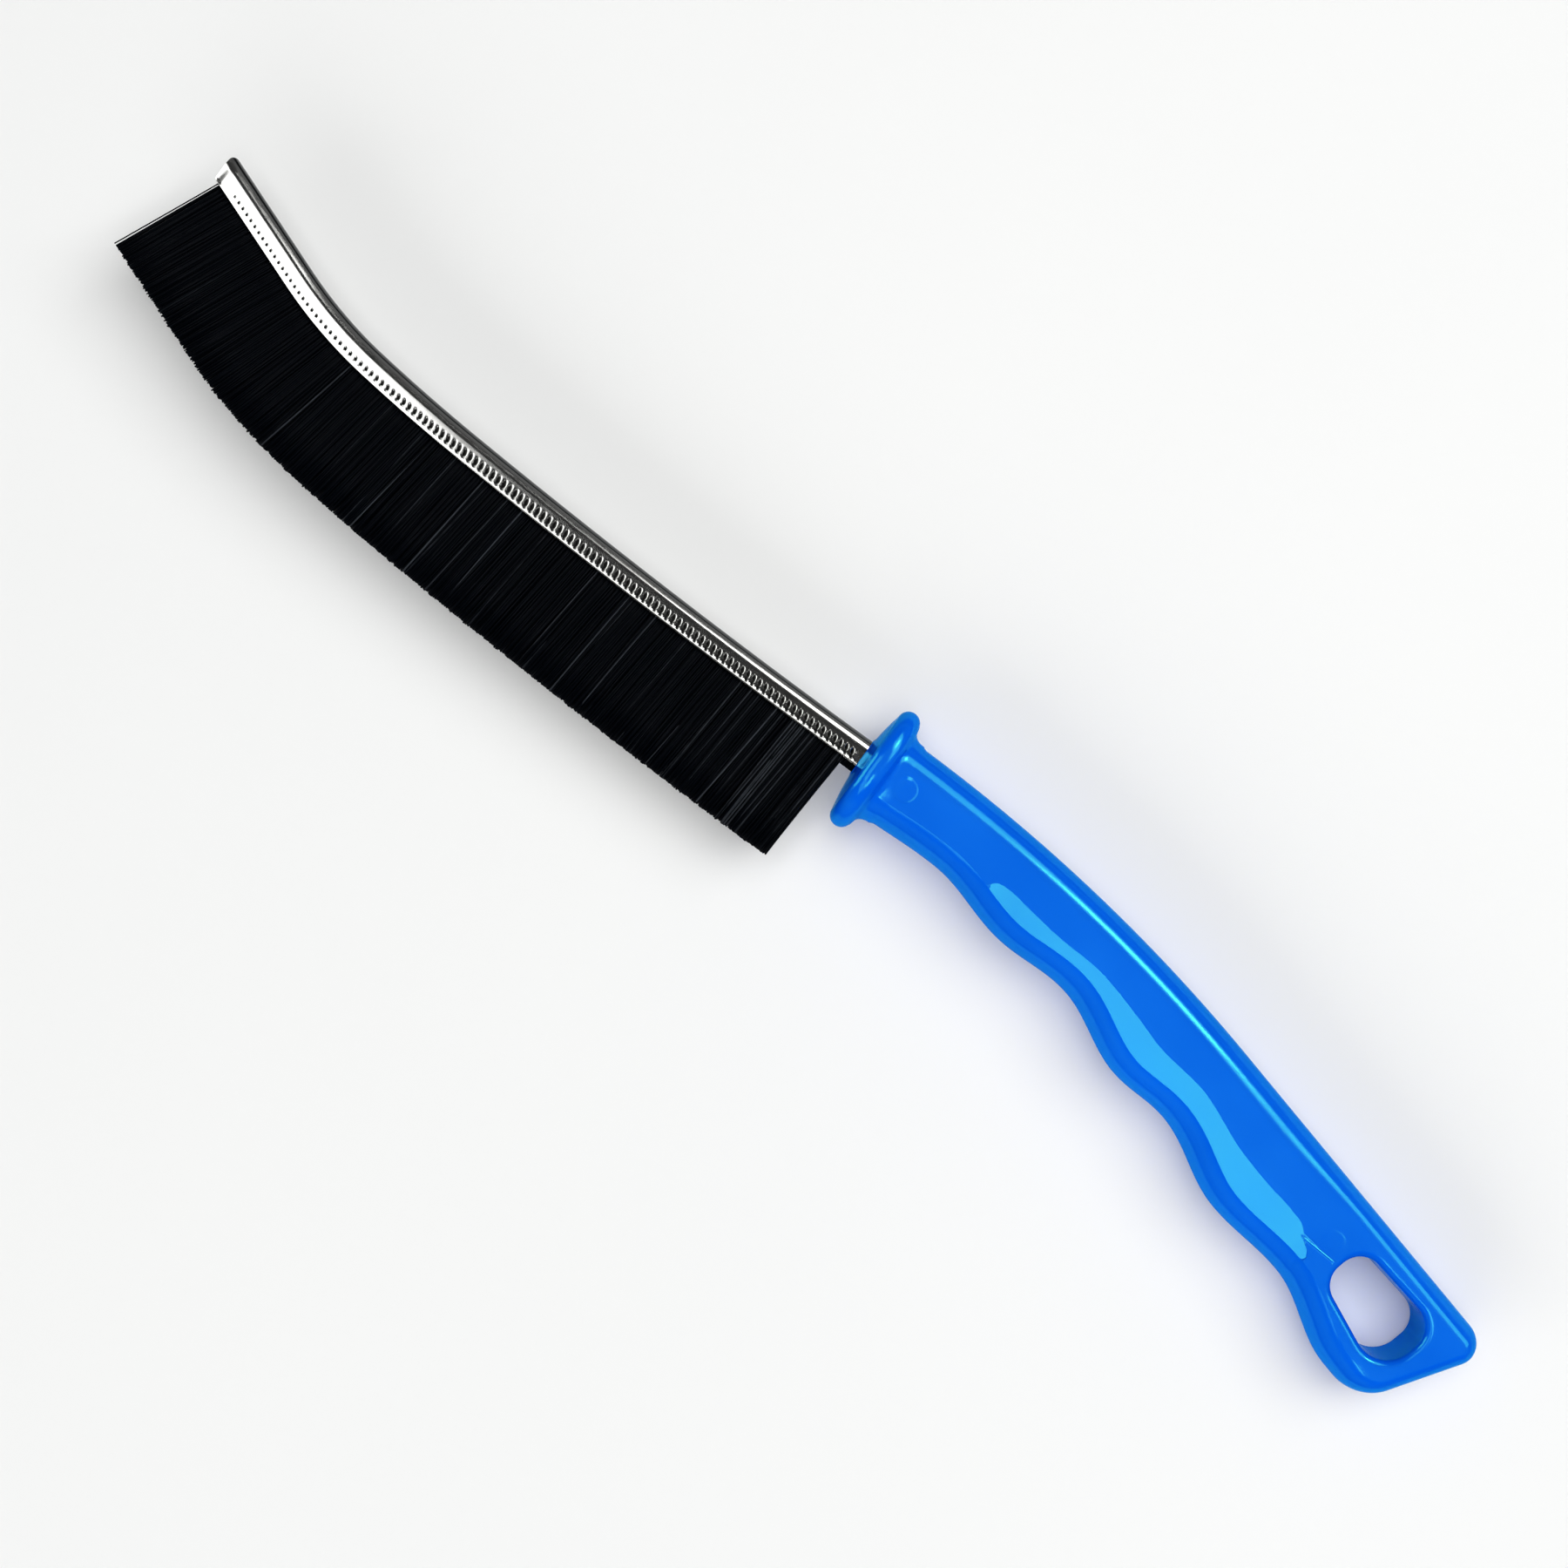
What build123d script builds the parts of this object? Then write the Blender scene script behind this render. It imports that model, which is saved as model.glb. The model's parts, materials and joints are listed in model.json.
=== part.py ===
from build123d import *
import os
from math import cos, hypot, pi, radians, sin, sqrt, tan

# Crevice brush: a curved strip brush held in a flat moulded handle. Millimetres.
# While the pieces are made, the origin is the middle of the strip where it leaves the guard,
# +X runs out along the strip, +Y points to the bristles and +Z up. At the end all of them
# move, so that the origin is on the ground under the middle of the whole brush.

# Strip channel: a folded steel U with a round back
channel_width = 4.4
channel_height = 4.8
channel_wall = 0.5
tang_length = 30.0

# Run of the strip's centreline out of the guard, bending away from the bristles
near_run_length = 80.3
near_run_turn = 3.5
middle_run_length = 20.3
middle_run_turn = 3.5
bend_length = 18.2
bend_turn = 13.5
strip_reach = 138.2

# Crimped teeth in the channel's side walls
tooth_pitch = 1.18
tooth_width = 0.6
tooth_depth = 0.3
tooth_length = 1.7
tooth_lip_gap = 0.45
tooth_slant = 14.0
teeth_start = 1.0
teeth_end_gap = 3.0

# Retaining wire, and the filaments folded round it
wire_diameter = 1.1
wire_end_gap = 1.2
fold_thickness = 0.5
filament_clearance = 0.05
pack_recess = 0.7
stub_length = 1.25

# Bristles: strands in rows across the channel, leaning towards the tip
bristle_start = 2.3
bristle_trim = 20.1
tip_trim_loss = 1.0
strand_pitch = 0.91
strand_width = 0.6
strand_depth = 0.84
strand_row_gap = 0.24
strand_rows = 3
strand_root = 0.4
strand_uneven = 0.3
strand_lean = 3.0
strand_lean_spread = 0.3
bank_count = 6

# Handle: its thickness, its curved back edge, and its slanted tail
handle_thickness = 11.5
back_edge_offset = 6.28
neck_root = 2.5
straight_neck = 2.3
back_arc_radius = 290.9
back_arc_length = 73.9
back_edge_length = 136.0
tail_lean = 20.2
tail_back_radius = 3.9
tail_finger_radius = 7.5

# Handle: rounded border between its outline and its flat faces
back_border = 3.1
finger_border = 3.9
tail_border = 2.9
land_back_radius = 0.7
land_finger_radius = 4.0

# Handle: widths at the neck and the tail, and the finger edge between them
neck_width = 14.5
tail_width = 22.1
grip_length = 120.4
finger_depth = 2.0

# Sloped finger land on both flat faces, in degrees
land_slope = 5.0

# Oval guard, with a domed front, a full round rim and a flare down to the neck
guard_width = 22.1
guard_depth = 16.5
guard_rim = 3.8
guard_dome = 1.0
guard_flare = 2.4

# Hanging hole through the tail, wider towards the end
hole_length = 17.9
hole_tail_gap = 9.9
hole_back_gap = 5.4
hole_narrow = 8.3
hole_wide = 12.5
hole_back_slant = 2.6
hole_neck_radius = 4.0
hole_back_radius = 4.2
hole_finger_radius = 5.2
hole_rim_radius = 0.9

# Strip socket in the handle
socket_clearance = 0.05

# How far a cutting shape runs past what it cuts
overrun = 2.0

# Finger valleys and bumps by turns: place along the grip, and how much of the
# growth from neck width to tail width is reached there
finger_shares = (
    (0.131, 0.046),
    (0.269, 0.079),
    (0.377, 0.171),
    (0.518, 0.342),
    (0.611, 0.428),
    (0.743, 0.553),
    (0.863, 0.632),
)
# Section of the rounded border: height above the parting line, and part of its width
border_shares = ((0.0, 0.0), (0.6, 0.27), (1.0, 1.0))
# Where the crease of the finger land runs across the handle
crease_share = 0.565
# How far the strands of neighbouring rows are staggered
stagger_share = 0.15
# Turn between one uneven strand and the next, as a part of a full turn
golden_share = 0.618

half_thickness = handle_thickness / 2
half_width = channel_width / 2
half_height = channel_height / 2
inner_half = half_width - channel_wall
inner_back = channel_wall - half_height
pack_half = inner_half - filament_clearance
pack_back = inner_back + filament_clearance
pack_front = half_height - pack_recess
wire_place = pack_back + fold_thickness + filament_clearance + wire_diameter / 2
straight_run = near_run_length + middle_run_length + bend_length
neck_centre = neck_width / 2 - back_edge_offset
back_start = neck_root + straight_neck

strip_runs = (
    (near_run_length, near_run_turn),
    (middle_run_length, middle_run_turn),
    (bend_length, bend_turn),
    (strip_reach, 0),
)


def along(point, heading, forward, side=0):
    """Point that lies forward along a heading, in degrees clockwise, and to its bristle side."""
    a = radians(heading)
    return (point[0] + forward * cos(a) + side * sin(a), point[1] - forward * sin(a) + side * cos(a))


def turned(point, heading, length, turn):
    """End and last heading of an arc that starts at a point and turns clockwise."""
    if turn == 0:
        return along(point, heading, length), heading
    radius = length / radians(turn)
    centre = along(point, heading, 0, -radius)
    return along(centre, heading + turn, 0, radius), heading + turn


def strip_place(distance):
    """Point and heading of the strip's centreline at a distance from the guard."""
    point, heading, left = (0, 0), 0, distance
    for length, turn in strip_runs:
        if left <= 0 or left < length or turn == 0:
            break
        point, heading = turned(point, heading, length, turn)
        left = left - length
    if left > 0:
        return turned(point, heading, left, turn * left / length)
    return along(point, heading, left), heading


def strip_plane(distance):
    """Plane square to the strip: its x points to the bristles and its y up."""
    point, heading = strip_place(distance)
    a = radians(heading)
    return Plane(origin=(*point, 0), x_dir=(sin(a), cos(a), 0), z_dir=(cos(a), -sin(a), 0))


def run_strip(section, start, end):
    """Solid that a section makes along the centreline, from one distance to another."""
    pieces = []
    place = start
    run_end = 0
    for length, turn in ((0, 0), *strip_runs):
        run_end = run_end + length
        stop = min(run_end, end)
        if stop > place:
            face = strip_plane(place) * section
            if turn == 0:
                pieces.append(extrude(face, stop - place))
            else:
                point, heading = strip_place(place)
                centre = along(point, heading, 0, -length / radians(turn))
                axis = Axis((*centre, 0), (0, 0, -1))
                pieces.append(revolve(face, axis, turn * (stop - place) / length))
            place = stop
    return Part() + pieces


def slot_face(half, back, front):
    """Face in the strip's section with a half round back and a square front."""
    centre = back + half
    outline = [
        Line((centre, -half), (front, -half)),
        Line((front, -half), (front, half)),
        Line((front, half), (centre, half)),
        ThreePointArc((centre, half), (back, 0), (centre, -half)),
    ]
    return make_face(outline)


def lip_end():
    """Distance from the guard at which the channel's lip reaches the tip of the brush."""
    point, heading = strip_place(straight_run)
    a = radians(heading)
    return straight_run + (strip_reach - point[0] - half_height * sin(a)) / cos(a)


def tooth():
    """Cutter for one tooth: a slanted V pressed into the upper side wall."""
    half = tooth_width / 2
    outline = [
        (-half, tooth_depth),
        (-half, 0),
        (0, -tooth_depth),
        (half, 0),
        (half, tooth_depth),
        (-half, tooth_depth),
    ]
    section = Plane.YZ * make_face(Polyline(*outline))
    return Rot(0, 0, -tooth_slant) * extrude(section, tooth_length)


def channel():
    """Folded steel U with a round back, its tang, and a row of teeth in each side wall."""
    end = lip_end()
    outer = slot_face(half_width, -half_height, half_height)
    inner = slot_face(inner_half, inner_back, half_height + overrun)
    body = run_strip(outer - inner, -tang_length, end + channel_height)
    cut_size = 2 * channel_height + overrun
    cut = Box(cut_size, 2 * cut_size, cut_size, align=(Align.MIN, Align.CENTER, Align.CENTER))
    tip_point, _ = strip_place(end)
    body = body - Pos(strip_reach, tip_point[1], 0) * cut
    low = half_height - tooth_lip_gap - tooth_length
    teeth = []
    count = int((end - teeth_start - teeth_end_gap) / tooth_pitch)
    for index in range(count):
        plane = strip_plane(teeth_start + index * tooth_pitch)
        for face_side in (1, -1):
            stand = Plane(
                origin=plane.origin + plane.x_dir * low + plane.y_dir * half_width * face_side,
                x_dir=plane.x_dir,
                z_dir=plane.y_dir * face_side,
            )
            teeth.append(stand * tooth())
    return body.solid().cut(Compound([cutter.solid() for cutter in teeth]))


def core_wire():
    """Retaining wire along the bottom of the channel."""
    section = Pos(wire_place, 0) * Circle(wire_diameter / 2)
    return run_strip(section, -tang_length, lip_end() - wire_end_gap)


def filament_pack(start, end, front):
    """Filaments folded round the wire inside the channel, between two distances."""
    bore = Pos(wire_place, 0) * Circle(wire_diameter / 2 + filament_clearance)
    return run_strip(slot_face(pack_half, pack_back, front) - bore, start, end)


def strand(column, row):
    """One strand from the pack to the trimmed edge, leaning a little towards the tip."""
    turn = 2 * pi * golden_share * (column * strand_rows + row)
    stagger = strand_pitch * stagger_share * (1 if row % 2 else -1)
    place = bristle_start + strand_pitch * (column + 1 / 2) + stagger
    plane = strip_plane(place)
    root = pack_front - strand_root
    trim = bristle_trim - tip_trim_loss * place / lip_end() + strand_uneven * sin(turn)
    tip = half_height + trim
    shift = (tip - root) * tan(radians(strand_lean + strand_lean_spread * cos(turn)))
    height = (row - (strand_rows - 1) / 2) * (strand_depth + strand_row_gap)
    origin = plane.origin + plane.x_dir * root + Vector(0, 0, height)
    foot = Plane(origin=origin, x_dir=plane.z_dir, z_dir=plane.x_dir) * Rectangle(strand_width, strand_depth)
    lean = plane.x_dir * (tip - root) + plane.z_dir * shift
    return extrude(foot, lean.length, dir=lean)


def bristle_bank(number, columns):
    """A slice of the folded filaments with the strands that stand on it."""
    first = columns * number // bank_count
    last = columns * (number + 1) // bank_count
    start = bristle_start + strand_pitch * first
    end = bristle_start + strand_pitch * last
    pack = filament_pack(start, end, pack_front)
    strands = [strand(column, row).solid() for column in range(first, last) for row in range(strand_rows)]
    return pack.solid().fuse(Compound(strands))


def handle_place(distance, width=0):
    """Point of the handle at a distance along its back edge and a width in from it."""
    a = max(0, min(distance, back_arc_length)) / back_arc_radius
    beyond = distance - a * back_arc_radius
    x = -back_start - back_arc_radius * sin(a) - beyond * cos(a) + width * sin(a)
    y = -back_edge_offset + back_arc_radius * (1 - cos(a)) + beyond * sin(a) + width * cos(a)
    return (x, y)


def handle_heading(distance):
    """Direction of the handle's back edge at a distance along it, towards the tail."""
    a = max(0, min(distance, back_arc_length)) / back_arc_radius
    return (-cos(a), sin(a))


def finger_turns():
    """Distance and width at the neck, at each valley and bump, and at the tail."""
    turns = [(0, neck_width)]
    for index, (place_share, growth_share) in enumerate(finger_shares):
        width = neck_width + (tail_width - neck_width) * growth_share
        swing = finger_depth / 2 if index % 2 else -finger_depth / 2
        turns.append((grip_length * place_share, width + swing))
    turns.append((grip_length, tail_width))
    return turns


def wave(places, level=0):
    """Smooth wave through places (distance, width), along the back edge's direction at each."""
    points = [(*handle_place(*place), level) for place in places]
    headings = [(*handle_heading(distance), 0) for distance, _ in places]
    return Spline(*points, tangents=headings)


def corner_arc(corner, before, turn, radius):
    """Arc in the straight tail: its corner, heading before it, turn and radius, in degrees."""
    half = radians(turn / 2)
    a = radians(before)
    b = radians(before + turn)
    reach = radius * tan(half)
    bow = radius / cos(half) - radius
    middle = radians(before + turn / 2 + 90)
    start = (corner[0] - reach * cos(a), corner[1] - reach * sin(a))
    centre = (corner[0] + bow * cos(middle), corner[1] + bow * sin(middle))
    end = (corner[0] + reach * cos(b), corner[1] + reach * sin(b))
    return [handle_place(*point) for point in (start, centre, end)]


def handle_outline(share):
    """Outline of the handle, moved in by a share of its border."""
    back = back_border * share
    finger = tail_width - finger_border * share
    lean = radians(tail_lean)
    end = back_edge_length - tail_border * share / cos(lean)
    back_radius = tail_back_radius + (land_back_radius - tail_back_radius) * share
    finger_radius = tail_finger_radius + (land_finger_radius - tail_finger_radius) * share
    back_arc = corner_arc((end - back * tan(lean), back), 0, 90 + tail_lean, back_radius)
    finger_arc = corner_arc((end - finger * tan(lean), finger), 90 + tail_lean, 90 - tail_lean, finger_radius)
    fingers = wave([(distance, width - finger_border * share) for distance, width in finger_turns()])
    root = handle_place(-straight_neck, back)
    root_finger = handle_place(-straight_neck, neck_width - finger_border * share)
    arc_start, arc_middle, arc_end = (handle_place(back_arc_length * part / 2, back) for part in range(3))
    return [
        Line(root, arc_start),
        ThreePointArc(arc_start, arc_middle, arc_end),
        Line(arc_end, back_arc[0]),
        ThreePointArc(*back_arc),
        Line(back_arc[2], finger_arc[0]),
        ThreePointArc(*finger_arc),
        Line(finger_arc[2], fingers @ 1),
        fingers,
        Line(fingers @ 0, root_finger),
        Line(root_finger, root),
    ]


def handle_body():
    """Solid of the handle between its two flat faces, with a rounded border all round."""
    upper = [(height, inset) for height, inset in border_shares]
    lower = [(-height, inset) for height, inset in reversed(upper[1:])]
    sections = []
    for height, inset in lower + upper:
        sections.append(Pos(0, 0, half_thickness * height) * make_face(handle_outline(inset)))
    return loft(sections)


def guard():
    """Oval guard: domed front, round rim and a flare down to the neck, as one turned shape."""
    radius = guard_width / 2
    bead = guard_rim / 2
    front = -guard_dome
    back = front - guard_rim
    rim = radius - bead
    neck = neck_width / 2
    flare_end = back - guard_flare
    flare_swing = guard_flare * (1 - sin(pi / 4))
    dome_radius = (rim**2 + guard_dome**2) / (2 * guard_dome)
    dome_middle = sqrt(dome_radius**2 - (rim / 2) ** 2) - dome_radius
    outline = [
        Line((flare_end, 0), (0, 0)),
        ThreePointArc((0, 0), (dome_middle, rim / 2), (front, rim)),
        ThreePointArc((front, rim), (front - bead, radius), (back, rim)),
        Line((back, rim), (back, neck + guard_flare)),
        ThreePointArc(
            (back, neck + guard_flare),
            (back - flare_swing, neck + flare_swing),
            (flare_end, neck),
        ),
        Line((flare_end, neck), (flare_end, 0)),
    ]
    turned_guard = revolve(make_face(outline), Axis.X)
    oval = scale(turned_guard, by=(1, 1, guard_depth / guard_width))
    return Pos(0, neck_centre, 0) * oval


def hanging_hole():
    """Cutter for the hanging hole: four round corners, wider towards the tail."""
    tail = back_edge_length - hole_tail_gap
    neck = tail - hole_length
    tail_back = hole_back_gap - hole_length * tan(radians(hole_back_slant))
    corners = [
        handle_place(neck, hole_back_gap),
        handle_place(tail, tail_back),
        handle_place(tail, tail_back + hole_wide),
        handle_place(neck, hole_back_gap + hole_narrow),
    ]
    radii = [hole_neck_radius, hole_back_radius, hole_finger_radius, hole_neck_radius]
    outline = FilletPolyline(*corners, radius=radii, close=True)
    return extrude(make_face(outline), handle_thickness, both=True)


def finger_land():
    """Cutter that slopes the finger side of the upper flat face, from a wavy crease outwards."""
    valley, *turns, last_valley = finger_turns()[1:-1]
    start = [(before + after) / 2 for before, after in zip(valley, turns[0])]
    crease = [(start[0], start[1] - finger_border)]
    crease += [(distance, width * crease_share) for distance, width in turns]
    crease.append((last_valley[0], last_valley[1] - finger_border))
    reach = tail_width
    outer = [(distance, width + reach) for distance, width in crease]
    drop = reach * tan(radians(land_slope))
    surface = Face.make_surface_from_curves(
        wave(crease, half_thickness).edge(),
        wave(outer, half_thickness - drop).edge(),
    )
    return extrude(surface, handle_thickness, dir=(0, 0, 1))


def handle():
    """Moulded handle: grip, guard, hanging hole, finger lands and the socket for the strip."""
    body = handle_body() - hanging_hole()
    rims = []
    for face in (body.faces().sort_by(Axis.Z)[-1], body.faces().sort_by(Axis.Z)[0]):
        for wire in face.inner_wires():
            rims = rims + list(wire.edges())
    body = fillet(rims, hole_rim_radius)
    land = finger_land()
    body = body - land - mirror(land, about=Plane.XY)
    body = body + guard()
    socket = slot_face(
        half_width + socket_clearance,
        -half_height - socket_clearance,
        half_height + stub_length + socket_clearance,
    )
    return body - run_strip(socket, -tang_length - socket_clearance, overrun)


def build():
    """All pieces by node name, in the frame they are made in."""
    columns = int((lip_end() - bristle_start) / strand_pitch)
    parts = {
        "handle": handle(),
        "channel": channel(),
        "core_wire": core_wire(),
        "trimmed_filaments": filament_pack(-tang_length, bristle_start, half_height + stub_length),
    }
    for number in range(bank_count):
        parts[f"bristle_bank_{number + 1}"] = bristle_bank(number, columns)
    return parts


def grounded(parts):
    """The same pieces, moved so that the brush stands on the ground over the origin."""
    box = parts["handle"].bounding_box()
    for part in parts.values():
        box = box.add(part.bounding_box())
    middle = box.center()
    shift = Pos(-middle.X, -middle.Y, -box.min.Z)
    return {name: shift * part for name, part in parts.items()}


if __name__ == "__main__":
    os.makedirs("parts", exist_ok=True)
    for name, part in grounded(build()).items():
        export_step(part, f"parts/{name}.step")
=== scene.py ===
import json
import logging
import math
from dataclasses import dataclass, field
from enum import Enum

import bmesh
import bpy
import numpy as np
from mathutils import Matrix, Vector
from mathutils.geometry import delaunay_2d_cdt

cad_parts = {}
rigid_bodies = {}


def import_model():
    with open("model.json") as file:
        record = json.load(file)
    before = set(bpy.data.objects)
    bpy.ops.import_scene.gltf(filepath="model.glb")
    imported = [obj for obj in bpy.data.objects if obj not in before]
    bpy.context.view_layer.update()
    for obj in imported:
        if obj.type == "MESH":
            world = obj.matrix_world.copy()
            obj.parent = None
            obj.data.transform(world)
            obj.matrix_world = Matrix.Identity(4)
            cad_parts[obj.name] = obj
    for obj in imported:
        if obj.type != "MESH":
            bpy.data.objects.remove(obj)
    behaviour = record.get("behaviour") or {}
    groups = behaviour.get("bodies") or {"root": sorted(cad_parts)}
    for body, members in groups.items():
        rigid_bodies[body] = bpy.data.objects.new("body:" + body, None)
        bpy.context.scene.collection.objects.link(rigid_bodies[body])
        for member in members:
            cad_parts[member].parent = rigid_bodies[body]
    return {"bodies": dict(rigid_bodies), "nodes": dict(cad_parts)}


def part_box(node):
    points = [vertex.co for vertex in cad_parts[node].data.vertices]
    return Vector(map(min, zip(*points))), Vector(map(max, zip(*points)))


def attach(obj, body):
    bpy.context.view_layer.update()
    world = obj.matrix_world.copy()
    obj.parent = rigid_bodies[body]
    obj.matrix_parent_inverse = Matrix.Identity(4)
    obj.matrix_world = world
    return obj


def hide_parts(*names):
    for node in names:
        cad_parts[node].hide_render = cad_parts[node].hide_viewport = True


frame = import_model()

log = logging.getLogger("crevice_brush")
MM = 0.001
BODY = next(iter(frame["bodies"]))
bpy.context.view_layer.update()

Array = np.ndarray
Socket = bpy.types.NodeSocket
Node = bpy.types.Node
Material = bpy.types.Material
Piece = bpy.types.Object


class Slot(Enum):
    """Material slots of the record."""

    PLASTIC = "blue_plastic"
    STEEL = "strip_steel"
    FILAMENT = "black_filament"


class Tree(Enum):
    """Kinds of node tree that this file builds."""

    SHADER = "ShaderNodeTree"
    GEOMETRY = "GeometryNodeTree"


# ---- making frame -------------------------------------------------------------


@dataclass(frozen=True)
class MakingFrame:
    """The frame the pieces are made in: the strip leaves the guard at its origin, in millimetres."""

    strip_reach: float = 138.2
    guard_low_side: float = -10.08

    def shift(self) -> Array:
        """Finds where the making frame lies in the row frame.

        Returns:
            Millimetres from the making frame to the row frame.
        """
        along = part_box("channel")[1].x / MM - self.strip_reach
        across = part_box("handle")[0].y / MM - self.guard_low_side
        up = (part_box("handle")[0].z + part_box("handle")[1].z) / (2 * MM)
        return np.array((along, across, up))

    def to_row(self, points: Array) -> Array:
        """Points of the making frame as metres in the row frame."""
        return (np.asarray(points, float) + self.shift()) * MM


MAKING = MakingFrame()


def smooth_step(low: float, high: float, value: Array) -> Array:
    """Smooth rise from 0 at low to 1 at high."""
    share = np.clip((value - low) / (high - low), 0, 1)
    return share * share * (3 - 2 * share)


def soft_max(one: Array, other: Array, blend: float) -> Array:
    """Larger of two values, with the meeting rounded over a width."""
    near = np.clip(1 - np.abs(one - other) / blend, 0, 1)
    return np.maximum(one, other) + near**3 * blend / 6


def grid(across: Array, along: Array) -> Array:
    """Every pair of two rows of numbers, as points in the plane."""
    return np.stack(np.meshgrid(across, along), axis=-1).reshape(-1, 2)


def smooth_line(knots: tuple, places: Array) -> Array:
    """Reads a smooth curve through knots.

    Args:
        knots: pairs (place, value) in rising order of place.
        places: where the curve is read.

    Returns:
        The curve's values.
    """
    x, y = np.array(knots, float).T
    slope = np.gradient(y, x)
    index = np.clip(np.searchsorted(x, places) - 1, 0, len(x) - 2)
    width = x[index + 1] - x[index]
    t = np.clip((places - x[index]) / width, 0, 1)
    rise = y[index] * (1 + 2 * t) * (1 - t) ** 2 + y[index + 1] * t * t * (3 - 2 * t)
    return rise + width * (slope[index] * t * (1 - t) ** 2 - slope[index + 1] * t * t * (1 - t))


def inside(loop: Array, points: Array) -> Array:
    """Tests which points lie inside a closed loop in the plane.

    Args:
        loop: corners of the loop in order.
        points: points to test.

    Returns:
        True for each point that lies inside.
    """
    a, b = loop, np.roll(loop, -1, axis=0)
    px, py = points[:, :1], points[:, 1:]
    crosses = (a[:, 1] > py) != (b[:, 1] > py)
    rise = np.where(b[:, 1] == a[:, 1], 1e-12, b[:, 1] - a[:, 1])
    reach = a[:, 0] + (py - a[:, 1]) * (b[:, 0] - a[:, 0]) / rise
    return (np.sum(crosses & (px < reach), axis=1) % 2) == 1


def rounded_loop(corners: list, radii: list, step: float) -> tuple[Array, Array]:
    """Closed loop of straight sides with round corners.

    Args:
        corners: sharp corners in order, counter-clockwise.
        radii: radius at each corner.
        step: longest gap between points.

    Returns:
        Points and their outward directions.
    """
    points, outward = [], []
    count = len(corners)
    corners = [np.array(c, float) for c in corners]
    for index, corner in enumerate(corners):
        before = corner - corners[index - 1]
        after = corners[(index + 1) % count] - corner
        a, b = math.atan2(before[1], before[0]), math.atan2(after[1], after[0])
        turn = (b - a) % (2 * math.pi)
        reach = radii[index] * math.tan(turn / 2)
        start = corner - before / np.linalg.norm(before) * reach
        centre = start + radii[index] * np.array((-math.sin(a), math.cos(a)))
        steps = max(6, int(radii[index] * turn / step))
        for angle in np.linspace(a, b if b > a else b + 2 * math.pi, steps):
            direction = np.array((math.sin(angle), -math.cos(angle)))
            points.append(centre + radii[index] * direction)
            outward.append(direction)
        arc_end = points[-1]
        nxt = corners[(index + 1) % count]
        following = corners[(index + 2) % count] - nxt
        c = math.atan2(following[1], following[0])
        next_reach = radii[(index + 1) % count] * math.tan(((c - b) % (2 * math.pi)) / 2)
        side_end = nxt - after / np.linalg.norm(after) * next_reach
        steps = max(3, int(np.linalg.norm(side_end - arc_end) / step))
        for share in np.linspace(0, 1, steps)[1:-1]:
            points.append(arc_end + (side_end - arc_end) * share)
            outward.append(np.array((math.sin(b), -math.cos(b))))
    return np.array(points), np.array(outward)


# ---- mesh making --------------------------------------------------------------


def add_object(name: str, data: object) -> Piece:
    """Makes an object of some data and puts it in the scene.

    Args:
        name: name of the object.
        data: its mesh, light or camera.

    Returns:
        The new object.
    """
    made = bpy.data.objects.new(name, data)
    bpy.context.scene.collection.objects.link(made)
    return made


def store_values(mesh: bpy.types.Mesh, name: str, values: Array) -> None:
    """Stores a number on each point of a mesh."""
    mesh.attributes.new(name, "FLOAT", "POINT").data.foreach_set("value", values.astype(np.float32))


class Shell:
    """Points and faces of one piece while it is made."""

    sharp_from = math.radians(38)
    line_from = math.radians(1.2)

    def __init__(self) -> None:
        """Starts empty."""
        self.points: list[Array] = []
        self.faces: list[tuple] = []
        self.lined: list[Array] = []
        self.count = 0

    def add(self, points: Array, lined: Array | None = None) -> Array:
        """Adds points and gives their numbers.

        Args:
            points: one row for each point.
            lined: which of them lie on a crisp edge.

        Returns:
            The numbers of the new points.
        """
        points = np.asarray(points, float).reshape(-1, 3)
        self.points.append(points)
        self.lined.append(np.zeros(len(points), bool) if lined is None else np.asarray(lined, bool))
        numbers = np.arange(self.count, self.count + len(points))
        self.count += len(points)
        return numbers

    def skin(self, rings: list, closed: bool) -> None:
        """Covers neighbouring rings of points with faces of four sides.

        Args:
            rings: numbers of each ring's points, all of one length.
            closed: whether each ring's last point joins its first.
        """
        for low, high in zip(rings, rings[1:]):
            last = len(low) if closed else len(low) - 1
            for index in range(last):
                after = (index + 1) % len(low)
                self.faces.append((low[index], low[after], high[after], high[index]))

    def cap(self, ring: Array) -> None:
        """Closes a ring with one face."""
        self.faces.append(tuple(ring))

    def build(self, name: str, weld: float = 0.002) -> Piece:
        """Makes the object, with its doubles merged and its faces pointing out.

        Args:
            name: name of the piece.
            weld: points nearer than this, in millimetres, are one point.

        Returns:
            The new object, in the row frame.
        """
        mesh = bpy.data.meshes.new(name)
        points = MAKING.to_row(np.concatenate(self.points))
        mesh.from_pydata(points.tolist(), [], [tuple(int(i) for i in f) for f in self.faces])
        mark = mesh.attributes.new("lined", "BOOLEAN", "POINT")
        mark.data.foreach_set("value", np.concatenate(self.lined))
        body = bmesh.new()
        body.from_mesh(mesh)
        bmesh.ops.remove_doubles(body, verts=body.verts, dist=weld * MM)
        bmesh.ops.recalc_face_normals(body, faces=body.faces)
        layer = body.verts.layers.bool["lined"]
        for face in body.faces:
            face.smooth = True
        for edge in body.edges:
            if len(edge.link_faces) == 2:
                angle = edge.calc_face_angle(0)
                both = edge.verts[0][layer] and edge.verts[1][layer]
                edge.smooth = not (angle > self.sharp_from or (both and angle > self.line_from))
        body.to_mesh(mesh)
        body.free()
        mesh.attributes.remove(mesh.attributes["lined"])
        return add_object(name, mesh)


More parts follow.
